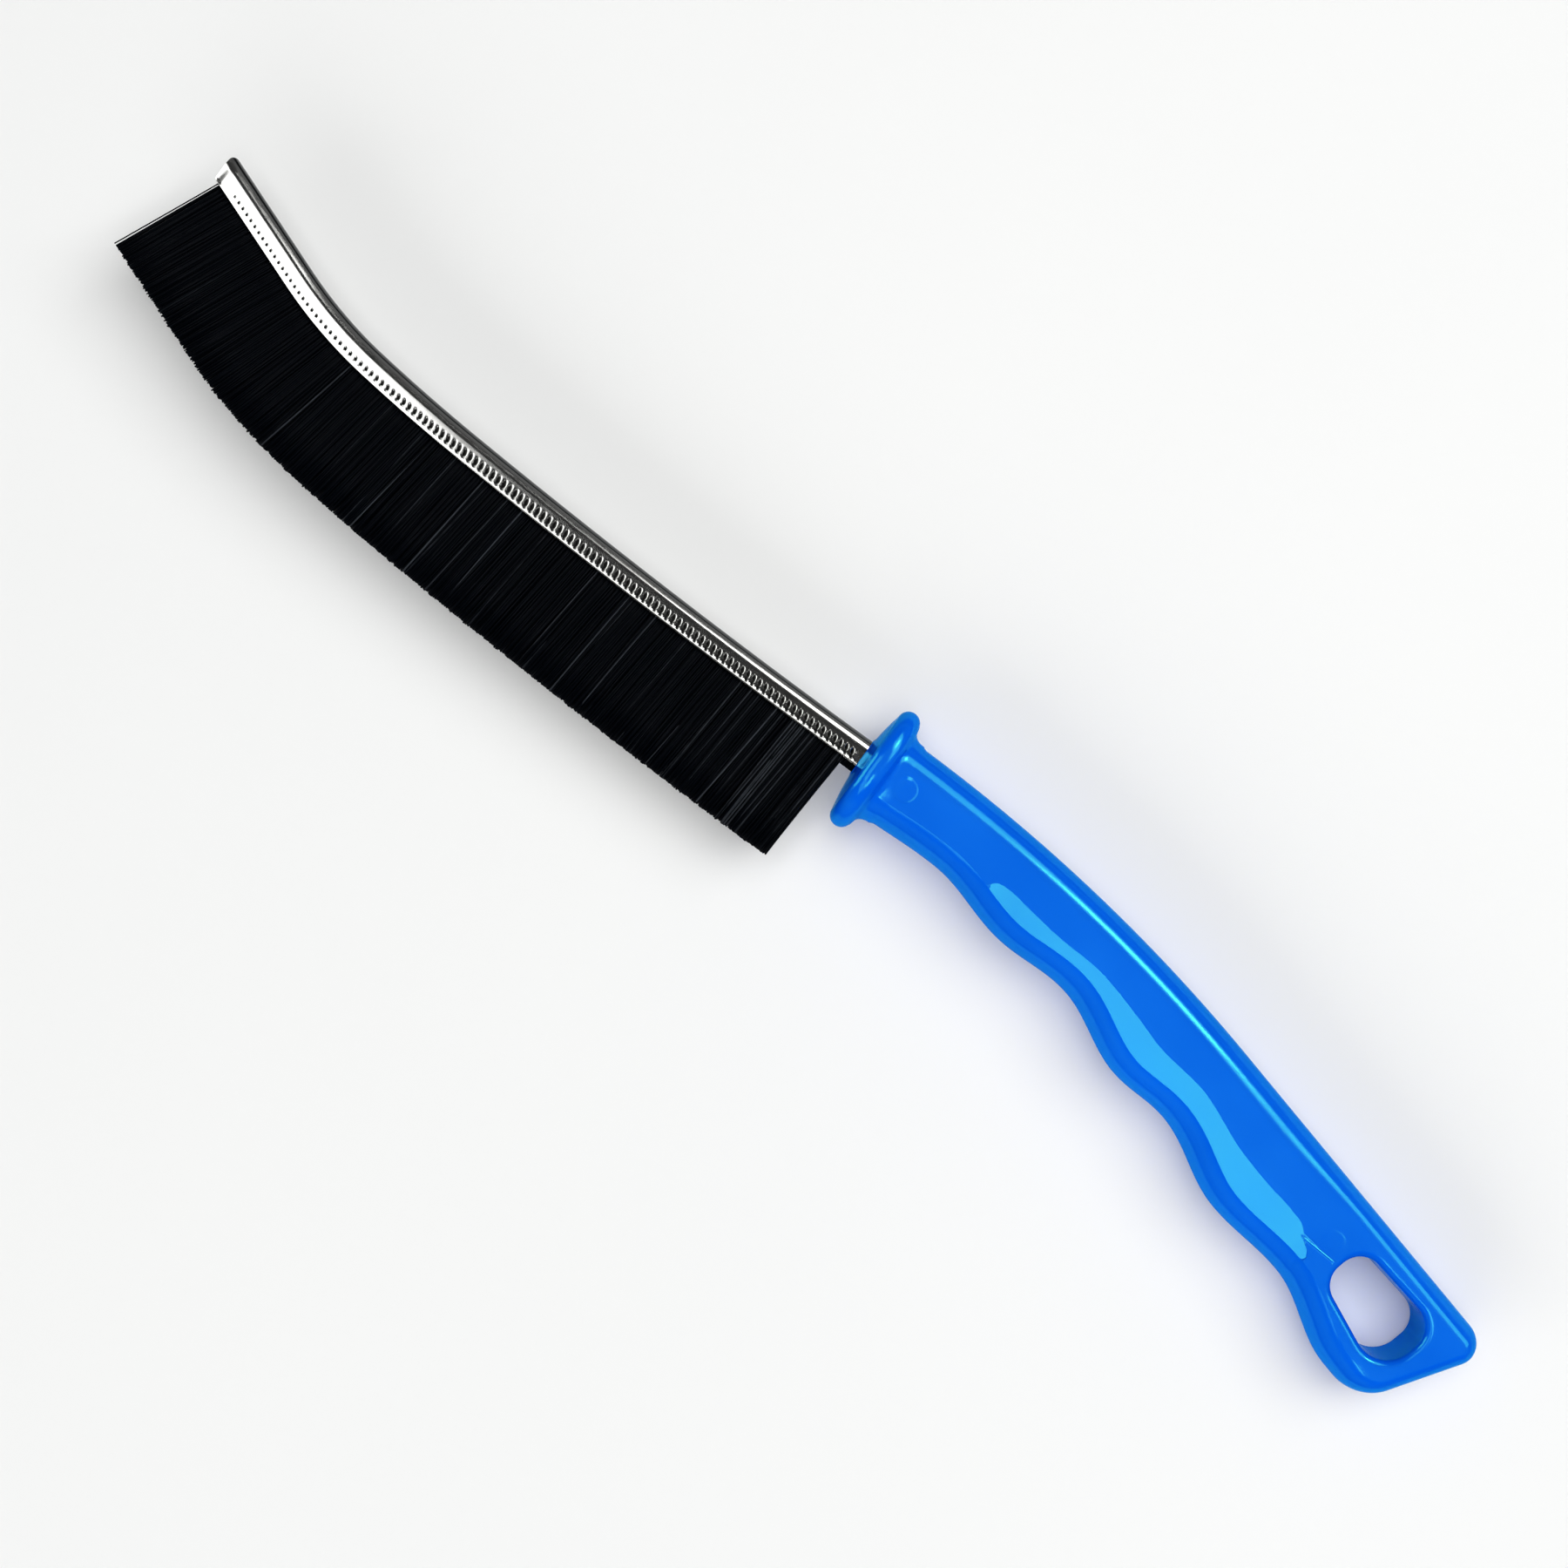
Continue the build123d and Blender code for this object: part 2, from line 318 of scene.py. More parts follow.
class Graph:
    """A node tree of the shader or geometry kind while it is made."""

    def __init__(self, tree: bpy.types.NodeTree) -> None:
        """Holds the tree."""
        self.tree = tree

    def node(self, kind: str, inputs: dict | None = None, **settings: object) -> Node:
        """Adds a node.

        Args:
            kind: the node's type name.
            inputs: a value or another node's output for each input, by name or number.
            settings: properties of the node.

        Returns:
            The new node.
        """
        made = self.tree.nodes.new(kind)
        for key, value in settings.items():
            setattr(made, key, value)
        self.fill(made, inputs or {})
        return made

    def fill(self, node: Node, inputs: dict) -> None:
        """Sets or links inputs of a node, by name or number."""
        for key, value in inputs.items():
            self.feed(node.inputs[key], value)

    def feed(self, socket: Socket, value: object) -> None:
        """Sets an input, or links an output to it.

        Args:
            socket: the input.
            value: a plain value, or another node's output.
        """
        if isinstance(value, Socket):
            self.tree.links.new(value, socket)
        else:
            socket.default_value = value

    def math(self, operation: str, *values: object) -> Socket:
        """Result of a mathematical operation on values or outputs."""
        return self.node("ShaderNodeMath", dict(enumerate(values)), operation=operation).outputs[0]

    def times(self, first: object, *others: object) -> Socket:
        """Product of values or outputs.

        Args:
            first: first factor.
            others: the other factors.

        Returns:
            The product.
        """
        for other in others:
            first = self.math("MULTIPLY", first, other)
        return first

    def plus(self, one: object, other: object) -> Socket:
        """Sum of two values or outputs."""
        return self.math("ADD", one, other)

    def minus(self, one: object, other: object) -> Socket:
        """Difference of two values or outputs."""
        return self.math("SUBTRACT", one, other)

    def apart(self, one: object, other: object) -> Socket:
        """How far apart two values or outputs are."""
        return self.math("ABSOLUTE", self.minus(one, other))

    def vector(self, operation: str, *values: object) -> Socket:
        """Result of a vector operation on vectors or outputs."""
        made = self.node("ShaderNodeVectorMath", dict(enumerate(values)), operation=operation)
        return made.outputs[0]

    def scaled(self, vector: object, share: object) -> Socket:
        """A vector times a number."""
        made = self.node("ShaderNodeVectorMath", {0: vector, "Scale": share}, operation="SCALE")
        return made.outputs[0]

    def upright(self, height: object, flat: float = 0.0) -> Socket:
        """Vector with a height, and the same number in its other two places."""
        return self.node("ShaderNodeCombineXYZ", {"X": flat, "Y": flat, "Z": height}).outputs[0]

    def rise(self, value: object, low: object, high: object, to_low: object = 0.0, to_high: object = 1.0) -> Socket:
        """Smooth rise of a value between two levels."""
        ranges = {"Value": value, "From Min": low, "From Max": high, "To Min": to_low, "To Max": to_high}
        return self.node("ShaderNodeMapRange", ranges, interpolation_type="SMOOTHSTEP").outputs[0]

    def noise(self, scale: object, detail: float, rough: float, **place: object) -> Socket:
        """Noise at a place: Vector=... in space, or W=... along a line.

        Args:
            scale: how fine the noise is.
            detail: how many finer layers it has.
            rough: how strong they are.
            place: the one input that says where it is read.

        Returns:
            The noise, from 0 to 1.
        """
        inputs = {**place, "Scale": scale, "Detail": detail, "Roughness": rough}
        size = "1D" if "W" in place else "3D"
        return self.node("ShaderNodeTexNoise", inputs, noise_dimensions=size).outputs["Fac"]

    def painted(self, name: str) -> Socket:
        """A number that a shader reads from the mesh."""
        return self.node("ShaderNodeAttribute", attribute_name=name).outputs["Fac"]

    def stored(self, name: str, kind: str = "FLOAT") -> Socket:
        """A named attribute of the geometry."""
        return self.node("GeometryNodeInputNamedAttribute", {"Name": name}, data_type=kind).outputs[0]

    def store(self, geometry: Socket, name: str, value: Socket) -> Socket:
        """Stores a number on each point under a name.

        Args:
            geometry: what the number is stored on.
            name: name of the attribute.
            value: the number.

        Returns:
            The geometry with its attribute.
        """
        inputs = {"Geometry": geometry, "Name": name}
        made = self.node("GeometryNodeStoreNamedAttribute", inputs, data_type="FLOAT", domain="POINT")
        self.feed(next(s for s in made.inputs if s.name == "Value" and s.enabled), value)
        return made.outputs[0]

    def scatter(self, low: object, high: object, seed: object) -> Socket:
        """Random number for each element.

        Args:
            low: smallest number.
            high: largest number.
            seed: fixed seed.

        Returns:
            The random number.
        """
        made = self.node("FunctionNodeRandomValue", data_type="FLOAT")
        sockets = {s.identifier: s for s in made.inputs}
        for name, value in (("Min_001", low), ("Max_001", high), ("Seed", seed)):
            self.feed(sockets[name], value)
        return next(s for s in made.outputs if s.identifier == "Value_001")


class GeometryTree:
    """A geometry tree with named inputs, run once on a piece."""

    def __init__(self, name: str, inputs: dict) -> None:
        """Makes the tree and its inputs.

        Args:
            name: name of the tree.
            inputs: default value of each named input; whole numbers make integer inputs.
        """
        self.tree = bpy.data.node_groups.new(name, Tree.GEOMETRY.value)
        self.graph = Graph(self.tree)
        self.values = inputs
        self.sockets = {}
        new_socket = self.tree.interface.new_socket
        for way in ("INPUT", "OUTPUT"):
            new_socket("Geometry", in_out=way, socket_type="NodeSocketGeometry")
        for key, value in inputs.items():
            kind = "NodeSocketInt" if isinstance(value, int) else "NodeSocketFloat"
            self.sockets[key] = new_socket(key, in_out="INPUT", socket_type=kind).identifier
        self.start = self.tree.nodes.new("NodeGroupInput")
        self.end = self.tree.nodes.new("NodeGroupOutput")

    def value(self, name: str) -> Socket:
        """Output of the named input."""
        return self.start.outputs[name]

    def close(self, geometry: Socket, material: Material) -> None:
        """Realizes the instances, sets the material and ends the tree.

        Args:
            geometry: what the tree has made.
            material: finish of the piece.
        """
        real = self.graph.node("GeometryNodeRealizeInstances", {"Geometry": geometry})
        dressed = self.graph.node("GeometryNodeSetMaterial", {"Geometry": real.outputs[0], "Material": material})
        self.tree.links.new(dressed.outputs[0], self.end.inputs[0])

    def run(self, base: Piece, name: str) -> Piece:
        """Runs the tree on a base object and leaves a plain mesh.

        Args:
            base: object that the tree starts from; it is removed.
            name: name of the finished piece.

        Returns:
            The finished piece, with no modifier.
        """
        modifier = base.modifiers.new("pattern", "NODES")
        modifier.node_group = self.tree
        for key, value in self.values.items():
            modifier[self.sockets[key]] = value
        depsgraph = bpy.context.evaluated_depsgraph_get()
        mesh = bpy.data.meshes.new_from_object(base.evaluated_get(depsgraph), depsgraph=depsgraph)
        base.modifiers.remove(modifier)
        mesh.name = name
        bpy.data.objects.remove(base)
        return add_object(name, mesh)


# ---- finishes -----------------------------------------------------------------


class SharedEffects:
    """Shader groups that more than one finish uses."""

    def __init__(self) -> None:
        """Makes the groups."""
        self.grain = self._grain()

    def _grain(self) -> bpy.types.NodeTree:
        """Makes the fine surface grain with slow drifts of tone.

        Returns:
            The group.
        """
        tree = bpy.data.node_groups.new("surface_grain", Tree.SHADER.value)
        tree.interface.new_socket("Vector", in_out="INPUT", socket_type="NodeSocketVector")
        for name, value in (("Fine", 900.0), ("Slow", 40.0)):
            made = tree.interface.new_socket(name, in_out="INPUT", socket_type="NodeSocketFloat")
            made.default_value = value
        for name in ("Height", "Drift"):
            tree.interface.new_socket(name, in_out="OUTPUT", socket_type="NodeSocketFloat")
        graph = Graph(tree)
        start = tree.nodes.new("NodeGroupInput").outputs
        end = tree.nodes.new("NodeGroupOutput")
        fine = graph.noise(start["Fine"], 3.0, 0.55, Vector=start["Vector"])
        slow = graph.noise(start["Slow"], 2.0, 0.5, Vector=start["Vector"])
        graph.fill(end, {"Height": fine, "Drift": slow})
        return tree


class Finish:
    """Start of every finish: a material with a principled shader."""

    def start(self, name: str) -> tuple[Material, Graph, Node]:
        """Makes the material.

        Args:
            name: name of the material.

        Returns:
            The material, its graph and its shader node.
        """
        material = bpy.data.materials.new(name)
        material.use_nodes = True
        return material, Graph(material.node_tree), material.node_tree.nodes["Principled BSDF"]

    def grain(
        self, graph: Graph, effects: SharedEffects, scales: tuple,
        stretch: tuple = (1.0, 1.0, 1.0), turn: float = 0.0,
    ) -> dict:
        """Places the shared grain on the piece's own coordinates.

        Args:
            graph: graph of the material.
            effects: the shared groups.
            scales: how fine the grain is, and how fine the drifts of tone are.
            stretch: stretch of the pattern along each axis.
            turn: turn about the upright axis, in degrees.

        Returns:
            The group's outputs, Height and Drift.
        """
        place = {
            "Vector": graph.node("ShaderNodeTexCoord").outputs["Object"],
            "Scale": stretch, "Rotation": (0.0, 0.0, math.radians(turn)),
        }
        mapped = graph.node("ShaderNodeMapping", place).outputs[0]
        inputs = {"Vector": mapped, "Fine": scales[0], "Slow": scales[1]}
        return graph.node("ShaderNodeGroup", inputs, node_tree=effects.grain).outputs

    def tones(self, graph: Graph, factor: Socket, *stops: tuple) -> Socket:
        """Makes a colour ramp.

        Args:
            graph: graph of the material.
            factor: where the ramp is read.
            stops: pairs (place, colour).

        Returns:
            The colour.
        """
        ramp = graph.node("ShaderNodeValToRGB", {"Fac": factor})
        elements = ramp.color_ramp.elements
        while len(elements) < len(stops):
            elements.new(0.5)
        for element, (place, colour) in zip(elements, stops):
            element.position = place
            element.color = (*colour, 1.0)
        return ramp.outputs["Color"]

    def bump(self, graph: Graph, height: Socket, relief: tuple) -> Socket:
        """Normal from a height, for a relief of some strength and depth."""
        inputs = {"Height": height, "Strength": relief[0], "Distance": relief[1]}
        return graph.node("ShaderNodeBump", inputs).outputs["Normal"]


@dataclass(frozen=True)
class MouldedPolypropylene(Finish):
    """Glossy injection-moulded polypropylene with faint flow marks."""

    deep: tuple = (0.0010, 0.130, 0.78)
    pale: tuple = (0.0014, 0.146, 0.85)
    roughness: float = 0.15
    uneven_gloss: float = 0.02
    tint: tuple = (0.42, 1.0, 0.32, 1.0)
    skin: tuple = (0.22, 0.84, 0.98, 1.0)
    flow_turn: float = 12.0
    flow_stretch: tuple = (1.0, 1.6, 1.0)
    scales: tuple = (1400.0, 38.0)
    relief: tuple = (0.003, 0.00012)

    def material(self, effects: SharedEffects) -> Material:
        """Makes the material.

        Args:
            effects: the shared groups.

        Returns:
            The material.
        """
        material, graph, shader = self.start("blue_polypropylene")
        grain = self.grain(graph, effects, self.scales, self.flow_stretch, self.flow_turn)
        dull, bright = self.roughness - self.uneven_gloss, self.roughness + self.uneven_gloss
        graph.fill(shader, {
            "Base Color": self.tones(graph, grain["Drift"], (0.3, self.deep), (0.7, self.pale)),
            "Roughness": graph.rise(grain["Drift"], 0.3, 0.7, dull, bright),
            "Normal": self.bump(graph, grain["Height"], self.relief),
            "Specular Tint": self.tint,
            "Specular IOR Level": 0.95,
            "Coat Weight": 1.0,
            "Coat IOR": 1.02,
            "Coat Roughness": self.roughness,
            "Coat Tint": self.skin,
        })
        return material


@dataclass(frozen=True)
class RolledSteel(Finish):
    """Folded stainless strip: streaks along the roll, a painted dark reflection on the round back, and painted shade
    in the teeth and under the lip.
    """

    wall: tuple = (0.62, 0.62, 0.60)
    # painted dark reflection on the round back of the strip
    painted_dark_reflection: tuple = (0.060, 0.063, 0.066)
    # painted shade in the pressed teeth and under the lip
    painted_dent_shade: tuple = (0.012, 0.012, 0.011)
    roughness: float = 0.13
    streak: tuple = (0.35, 9.0, 1.0)
    scales: tuple = (2600.0, 120.0)
    relief: tuple = (0.02, 0.00004)

    def material(self, effects: SharedEffects) -> Material:
        """Makes the material.

        Args:
            effects: the shared groups.

        Returns:
            The material.
        """
        material, graph, shader = self.start("rolled_steel")
        follow = graph.node("ShaderNodeUVMap", uv_map="along_strip").outputs[0]
        mapped = graph.node("ShaderNodeMapping", {"Vector": follow, "Scale": self.streak}).outputs[0]
        streaks = graph.noise(1.0, 4.0, 0.6, Vector=mapped)
        grain = self.grain(graph, effects, self.scales)
        # the round back gets a painted dark reflection, mixed with the streaks
        mixed = graph.plus(graph.painted("painted_dark_reflection"), graph.times(graph.minus(streaks, 0.5), 0.2))
        tone_with_dark_reflection = self.tones(graph, mixed, (0.15, self.wall), (0.85, self.painted_dark_reflection))
        # painted shade where the teeth are pressed and in the band under the lip
        tone_with_dent_shade = graph.node("ShaderNodeMix", {"Factor": graph.painted("pressed")}, data_type="RGBA")
        graph.fill(tone_with_dent_shade, {"A": tone_with_dark_reflection, "B": (*self.painted_dent_shade, 1.0)})
        height = graph.plus(graph.times(streaks, 0.7), graph.times(grain["Height"], 0.3))
        smooth, rough = self.roughness - 0.03, self.roughness + 0.05
        graph.fill(shader, {
            "Base Color": tone_with_dent_shade.outputs["Result"],
            "Metallic": 1.0,
            "Roughness": graph.rise(streaks, 0.3, 0.7, smooth, rough),
            "Normal": self.bump(graph, height, self.relief),
        })
        return material


@dataclass(frozen=True)
class DrawnWire(Finish):
    """Galvanised retaining wire, as the filaments are folded round it."""

    tone: tuple = (0.42, 0.42, 0.41)
    dulling: float = 0.6
    scales: tuple = (900.0, 300.0)
    relief: tuple = (0.1, 0.00004)

    def material(self, effects: SharedEffects) -> Material:
        """Makes the material.

        Args:
            effects: the shared groups.

        Returns:
            The material.
        """
        material, graph, shader = self.start("drawn_wire")
        grain = self.grain(graph, effects, self.scales)
        dull = tuple(c * self.dulling for c in self.tone)
        graph.fill(shader, {
            "Base Color": self.tones(graph, grain["Drift"], (0.35, dull), (0.65, self.tone)),
            "Metallic": 1.0,
            "Roughness": graph.rise(grain["Drift"], 0.3, 0.7, 0.3, 0.45),
            "Normal": self.bump(graph, grain["Height"], self.relief),
        })
        return material


@dataclass(frozen=True)
class NylonFilament(Finish):
    """Black nylon filaments; a few strands are painted paler as painted highlights, more of them near the guard."""

    dark: tuple = (0.0004, 0.0009, 0.0020)
    # colour of the strands that carry a painted highlight
    pale: tuple = (0.036, 0.041, 0.049)
    scales: tuple = (3000.0, 500.0)
    relief: tuple = (0.08, 0.00003)

    def material(self, effects: SharedEffects) -> Material:
        """Makes the material.

        Args:
            effects: the shared groups.

        Returns:
            The material.
        """
        material, graph, shader = self.start("black_nylon")
        # tone marks the strands painted pale as painted highlights
        tone = graph.painted("tone")
        grain = self.grain(graph, effects, self.scales)
        factor = graph.plus(tone, graph.times(graph.minus(grain["Drift"], 0.5), 0.15))
        graph.fill(shader, {
            "Base Color": self.tones(graph, factor, (0.0, self.dark), (0.8, self.dark), (1.0, self.pale)),
            "Roughness": graph.rise(tone, 0.0, 1.0, 0.5, 0.34),
            "Normal": self.bump(graph, grain["Height"], self.relief),
            "Specular IOR Level": 0.05,
        })
        return material


@dataclass(frozen=True)
class PaleTable(Finish):
    """Off-white table top, lifted a little where it is seen."""

    low: tuple = (0.890, 0.896, 0.888)
    high: tuple = (0.908, 0.913, 0.904)
    glow: tuple = (0.950, 0.955, 0.948)
    glow_share: float = 0.12
    scales: tuple = (300.0, 6.0)

    def material(self, effects: SharedEffects) -> Material:
        """Makes the material.

        Args:
            effects: the shared groups.

        Returns:
            The material.
        """
        material, graph, shader = self.start("pale_table")
        grain = self.grain(graph, effects, self.scales)
        graph.fill(shader, {
            "Base Color": self.tones(graph, grain["Drift"], (0.3, self.low), (0.7, self.high)),
            "Roughness": 0.9,
            "Specular IOR Level": 0.1,
        })
        path = graph.node("ShaderNodeLightPath").outputs
        mirrored = graph.math("MAXIMUM", path["Is Glossy Ray"], path["Is Transmission Ray"])
        seen = graph.math("MAXIMUM", path["Is Camera Ray"], mirrored)
        glow = graph.node("ShaderNodeEmission", {"Color": (*self.glow, 1.0), "Strength": 1.0})
        mix = {0: graph.times(seen, self.glow_share), 1: shader.outputs[0], 2: glow.outputs[0]}
        surface = graph.node("ShaderNodeMixShader", mix).outputs[0]
        graph.fill(material.node_tree.nodes["Material Output"], {"Surface": surface})
        return material


# ---- handle -------------------------------------------------------------------


@dataclass(frozen=True)
class FaceNet:
    """Net of triangles over the handle's flat face; ring, rim and lined mark some of its points."""

    spots: Array
    triangles: Array
    source: Array
    ring: Array
    rim: Array
    lined: Array
    cut: Array


@dataclass
class Handle:
    """Moulded handle: wavy finger edge, sloped finger land, hanging hole and oval guard, as one skin."""

    thickness: float = 11.5
    back_offset: float = 6.28
    arc_start: float = -4.8
    arc_radius: float = 290.9
    arc_length: float = 73.9
    back_length: float = 135.98
    tail_lean: float = 20.2
    back_corner: float = 3.9
    finger_corner: float = 7.5
    neck_width: float = 14.5
    tail_width: float = 22.08
    back_border: float = 4.5
    tail_back_border: float = 3.4
    border_change: tuple = (86, 106)
    tail_border: float = 2.9
    finger_border: float = 3.9
    border_rings: int = 22
    border_bunch: float = 1.35
    border_end: float = 86.0
    tilt_places: tuple = (18.0, 26.0, 101.0, 108.0)
    tilts: tuple = (11.0, 22.0, 22.0, 15.0)
    crisp_fade: tuple = (116.0, 127.0)
    creased_part: tuple = (1.5, 122.5)
    fingers: tuple = (
        (0.0, 14.5), (15.77, 13.85), (32.39, 16.10), (45.39, 14.80), (62.37, 18.10),
        (73.56, 16.75), (89.46, 19.70), (103.91, 18.30), (120.4, 22.08),
    )
    crease: tuple = (
        (24.45, 10.35), (24.9, 9.8), (25.8, 9.36), (27.4, 9.17), (32.0, 9.3), (38.0, 9.4), (47.4, 8.7),
        (55.9, 9.3), (63.0, 10.0), (73.7, 9.3), (84.2, 10.7), (91.1, 10.8), (97.0, 10.55), (99.5, 10.75),
        (100.9, 11.5),
    )
    land_slope: float = 5.0
    land_start: float = 24.3
    land_start_width: float = 11.0
    land_least_width: float = 9.0
    land_end: tuple = ((100.9, 11.5), (101.6, 12.25), (103.1, 12.75), (103.8, 13.5), (103.9, 14.3))
    step_width: float = 0.15
    hole_corners: tuple = ((108.6, 5.58), (126.1, 4.75), (126.1, 16.95), (108.6, 13.7))
    hole_radii: tuple = (4.0, 4.2, 5.2, 4.0)
    hole_rim: float = 1.2
    guard_width: float = 22.1
    guard_depth: float = 16.5
    guard_bead: float = 1.9
    guard_dome: float = 1.0
    flare: float = 2.4
    flare_blend: float = 1.8
    slot_half: float = 2.25
    slot_back: float = -2.45
    slot_front: float = 3.7
    slot_deep: float = -4.0
    slot_edge: tuple = ((-0.02, 0.12), (-0.05, 0.04), (-0.14, 0.0))
    pin_marks: tuple = ((3.9, 7.2, 1.95, -0.10), (104.8, 8.6, 1.8, -0.02))
    pin_edge: float = 0.28
    knit_line: tuple = ((100.9, 11.93), (107.5, 10.65))
    knit_height: float = 0.11
    knit_half: float = 0.20
    net_gap: float = 0.01
    neck_zone: float = 6.0
    neck_step: float = 0.3
    corner_points: tuple = (40, 48)
    side_points: tuple = (260, 40, 300)
    cut_points: int = 15
    hole_step: float = 0.4
    rim_rings: int = 15
    hole_wall_rings: int = 6
    bead_turns: tuple = (160, 4, 26)
    front_rings: int = 12
    taper_margin: float = 1.2
    taper_fall: float = 1.5
    close_zone: tuple = (98.3, 109.2, 7.5)
    close_near: float = 6.2
    clearance: tuple = (0.03, 0.12)
    mark_clearance: float = 0.02
    least_area: float = 1e-5

    def __post_init__(self) -> None:
        """Works out values that several methods use."""
        self.half = self.thickness / 2
        self.neck_middle = self.neck_width / 2 - self.back_offset
        self.oval = self.guard_depth / self.guard_width

    def place(self, flat: Array) -> Array:
        """Finds points of the plan.

        Args:
            flat: distances along the back edge and widths in from it.

        Returns:
            The same points in the making frame.
        """
        s, w = flat[:, 0], flat[:, 1]
        a = np.clip(s, 0, self.arc_length) / self.arc_radius
        beyond = s - a * self.arc_radius
        x = self.arc_start - self.arc_radius * np.sin(a) - beyond * np.cos(a) + w * np.sin(a)
        y = -self.back_offset + self.arc_radius * (1 - np.cos(a)) + beyond * np.sin(a) + w * np.cos(a)
        return np.stack((x, y), axis=1)

    def finger_width(self, s: Array) -> Array:
        """Reads the wave of the finger edge.

        Args:
            s: distances along the back edge.

        Returns:
            Width of the handle at each.
        """
        turns = np.array(self.fingers)
        index = np.clip(np.searchsorted(turns[:, 0], s) - 1, 0, len(turns) - 2)
        share = np.clip((s - turns[index, 0]) / (turns[index + 1, 0] - turns[index, 0]), 0, 1)
        return turns[index, 1] + (turns[index + 1, 1] - turns[index, 1]) * (1 - np.cos(np.pi * share)) / 2

    def outline(self) -> tuple[Array, Array, Array]:
        """Outline from the neck's back edge round the tail to its finger edge.

        Returns:
            Points, inward directions and border widths.
        """
        lean, zone, step = math.radians(self.tail_lean), self.neck_zone, self.neck_step
        on_back, on_tail, on_edge = self.side_points
        tail = 90 + self.tail_lean
        corner = np.array((self.back_length, 0.0))
        far = np.array((self.back_length - self.tail_width * math.tan(lean), self.tail_width))
        first = self._corner(corner, 0, tail, self.back_corner, self.corner_points[0])
        second = self._corner(far, tail, 180, self.finger_corner, self.corner_points[1])
        near = np.concatenate((np.arange(0, zone, step), np.linspace(zone, first[0][0, 0], on_back)[:-1]))
        back = np.stack((near, np.zeros_like(near)), axis=1)
        line = first[0][-1] + (second[0][0] - first[0][-1]) * np.linspace(0, 1, on_tail)[1:-1, None]
        wave = np.linspace(second[0][-1, 0], zone, on_edge)[1:]
        wave = np.concatenate((wave, np.arange(zone - step, -0.01, -step)))
        wave[-1] = 0.0
        edge = np.stack((wave, self.finger_width(wave)), axis=1)
        slope = (self.finger_width(wave + 0.01) - self.finger_width(wave - 0.01)) / 0.02
        slope[-1] = 0.0
        length = np.sqrt(1 + slope**2)
        edge_in = np.stack((slope / length, -1 / length), axis=1)
        back_in = np.tile((0.0, 1.0), (len(back), 1))
        tail_in = np.tile((-math.cos(lean), -math.sin(lean)), (len(line), 1))
        points = np.concatenate((back, first[0], line, second[0], edge))
        inward = np.concatenate((back_in, first[1], tail_in, second[1], edge_in))
        turns = [smooth_step(0, 1, np.linspace(0, 1, len(arc[0]))) for arc in (first, second)]
        along_back = smooth_step(*self.border_change, back[:, 0])
        border = np.concatenate((
            self.back_border + (self.tail_back_border - self.back_border) * along_back,
            self.tail_back_border + (self.tail_border - self.tail_back_border) * turns[0],
            np.full(len(line), self.tail_border),
            self.tail_border + (self.finger_border - self.tail_border) * turns[1],
            np.full(len(edge), self.finger_border),
        ))
        return points, inward, border

    def _corner(self, corner: Array, before: float, after: float, radius: float, count: int) -> tuple:
        """Rounds one corner.

        Args:
            corner: the sharp corner.
            before: heading before it, in degrees.
            after: heading after it, in degrees.
            radius: radius of the arc.
            count: how many points it gets.

        Returns:
            The arc's points and its inward directions.
        """
        a, b = math.radians(before), math.radians(after)
        start = corner - radius * math.tan((b - a) / 2) * np.array((math.cos(a), math.sin(a)))
        centre = start + radius * np.array((-math.sin(a), math.cos(a)))
        angles = np.linspace(a, b, count)
        outward = np.stack((np.sin(angles), -np.cos(angles)), axis=1)
        return centre + radius * outward, -outward

    def land_depth(self, flat: Array) -> Array:
        """Finds how far the sloped land lies under the flat face.

        Args:
            flat: places on the face.

        Returns:
            Depth at each.
        """
        s, first = flat[:, 0], self.crease[0]
        start = np.interp(s, (self.land_start, first[0]), (self.land_start_width, first[1]))
        crease = np.where(s < first[0], start, smooth_line(self.crease, np.minimum(s, self.crease[-1][0])))
        return np.maximum(0, flat[:, 1] - crease) * math.tan(math.radians(self.land_slope))

    def flared(self, points: Array) -> Array:
        """Moves points of the neck out where the guard's flare covers them.

        Args:
            points: points in the making frame.

        Returns:
            The moved points.
        """
        points = points.copy()
        x, y, z = points.T
        near = x > self.arc_start - self.flare - self.taper_margin
        across = y[near] - self.neck_middle
        angle = np.arctan2(z[near], across)
        radius = np.hypot(across, z[near])
        run = np.clip((x[near] - self.arc_start) / self.flare + 1, 0, 1)
        profile = self.neck_width / 2 + self.flare * (1 - np.sqrt(1 - run**2))
        profile -= self.taper_fall * np.maximum(0, self.arc_start - self.flare - x[near])
        moved = soft_max(radius, self.oval_radius(profile, angle), self.flare_blend)
        factor = moved / np.maximum(radius, 1e-6)
        points[near, 1] = self.neck_middle + across * factor
        points[near, 2] = z[near] * factor
        return points

    def oval_radius(self, half_width: Array, angle: Array) -> Array:
        """Radius at an angle of the guard's oval of some half width."""
        return half_width / np.sqrt(np.cos(angle) ** 2 + (np.sin(angle) / self.oval) ** 2)

    def marks(self, flat: Array) -> Array:
        """Height of the pin marks and the knit line over the flat face.

        Args:
            flat: places on the face.

        Returns:
            Height at each.
        """
        height = np.zeros(len(flat))
        for s, w, radius, deep in self.pin_marks:
            distance = np.hypot(flat[:, 0] - s, flat[:, 1] - w)
            height += deep * (1 - smooth_step(radius - self.pin_edge, radius + self.pin_edge, distance))
        return height + self.knit(flat)

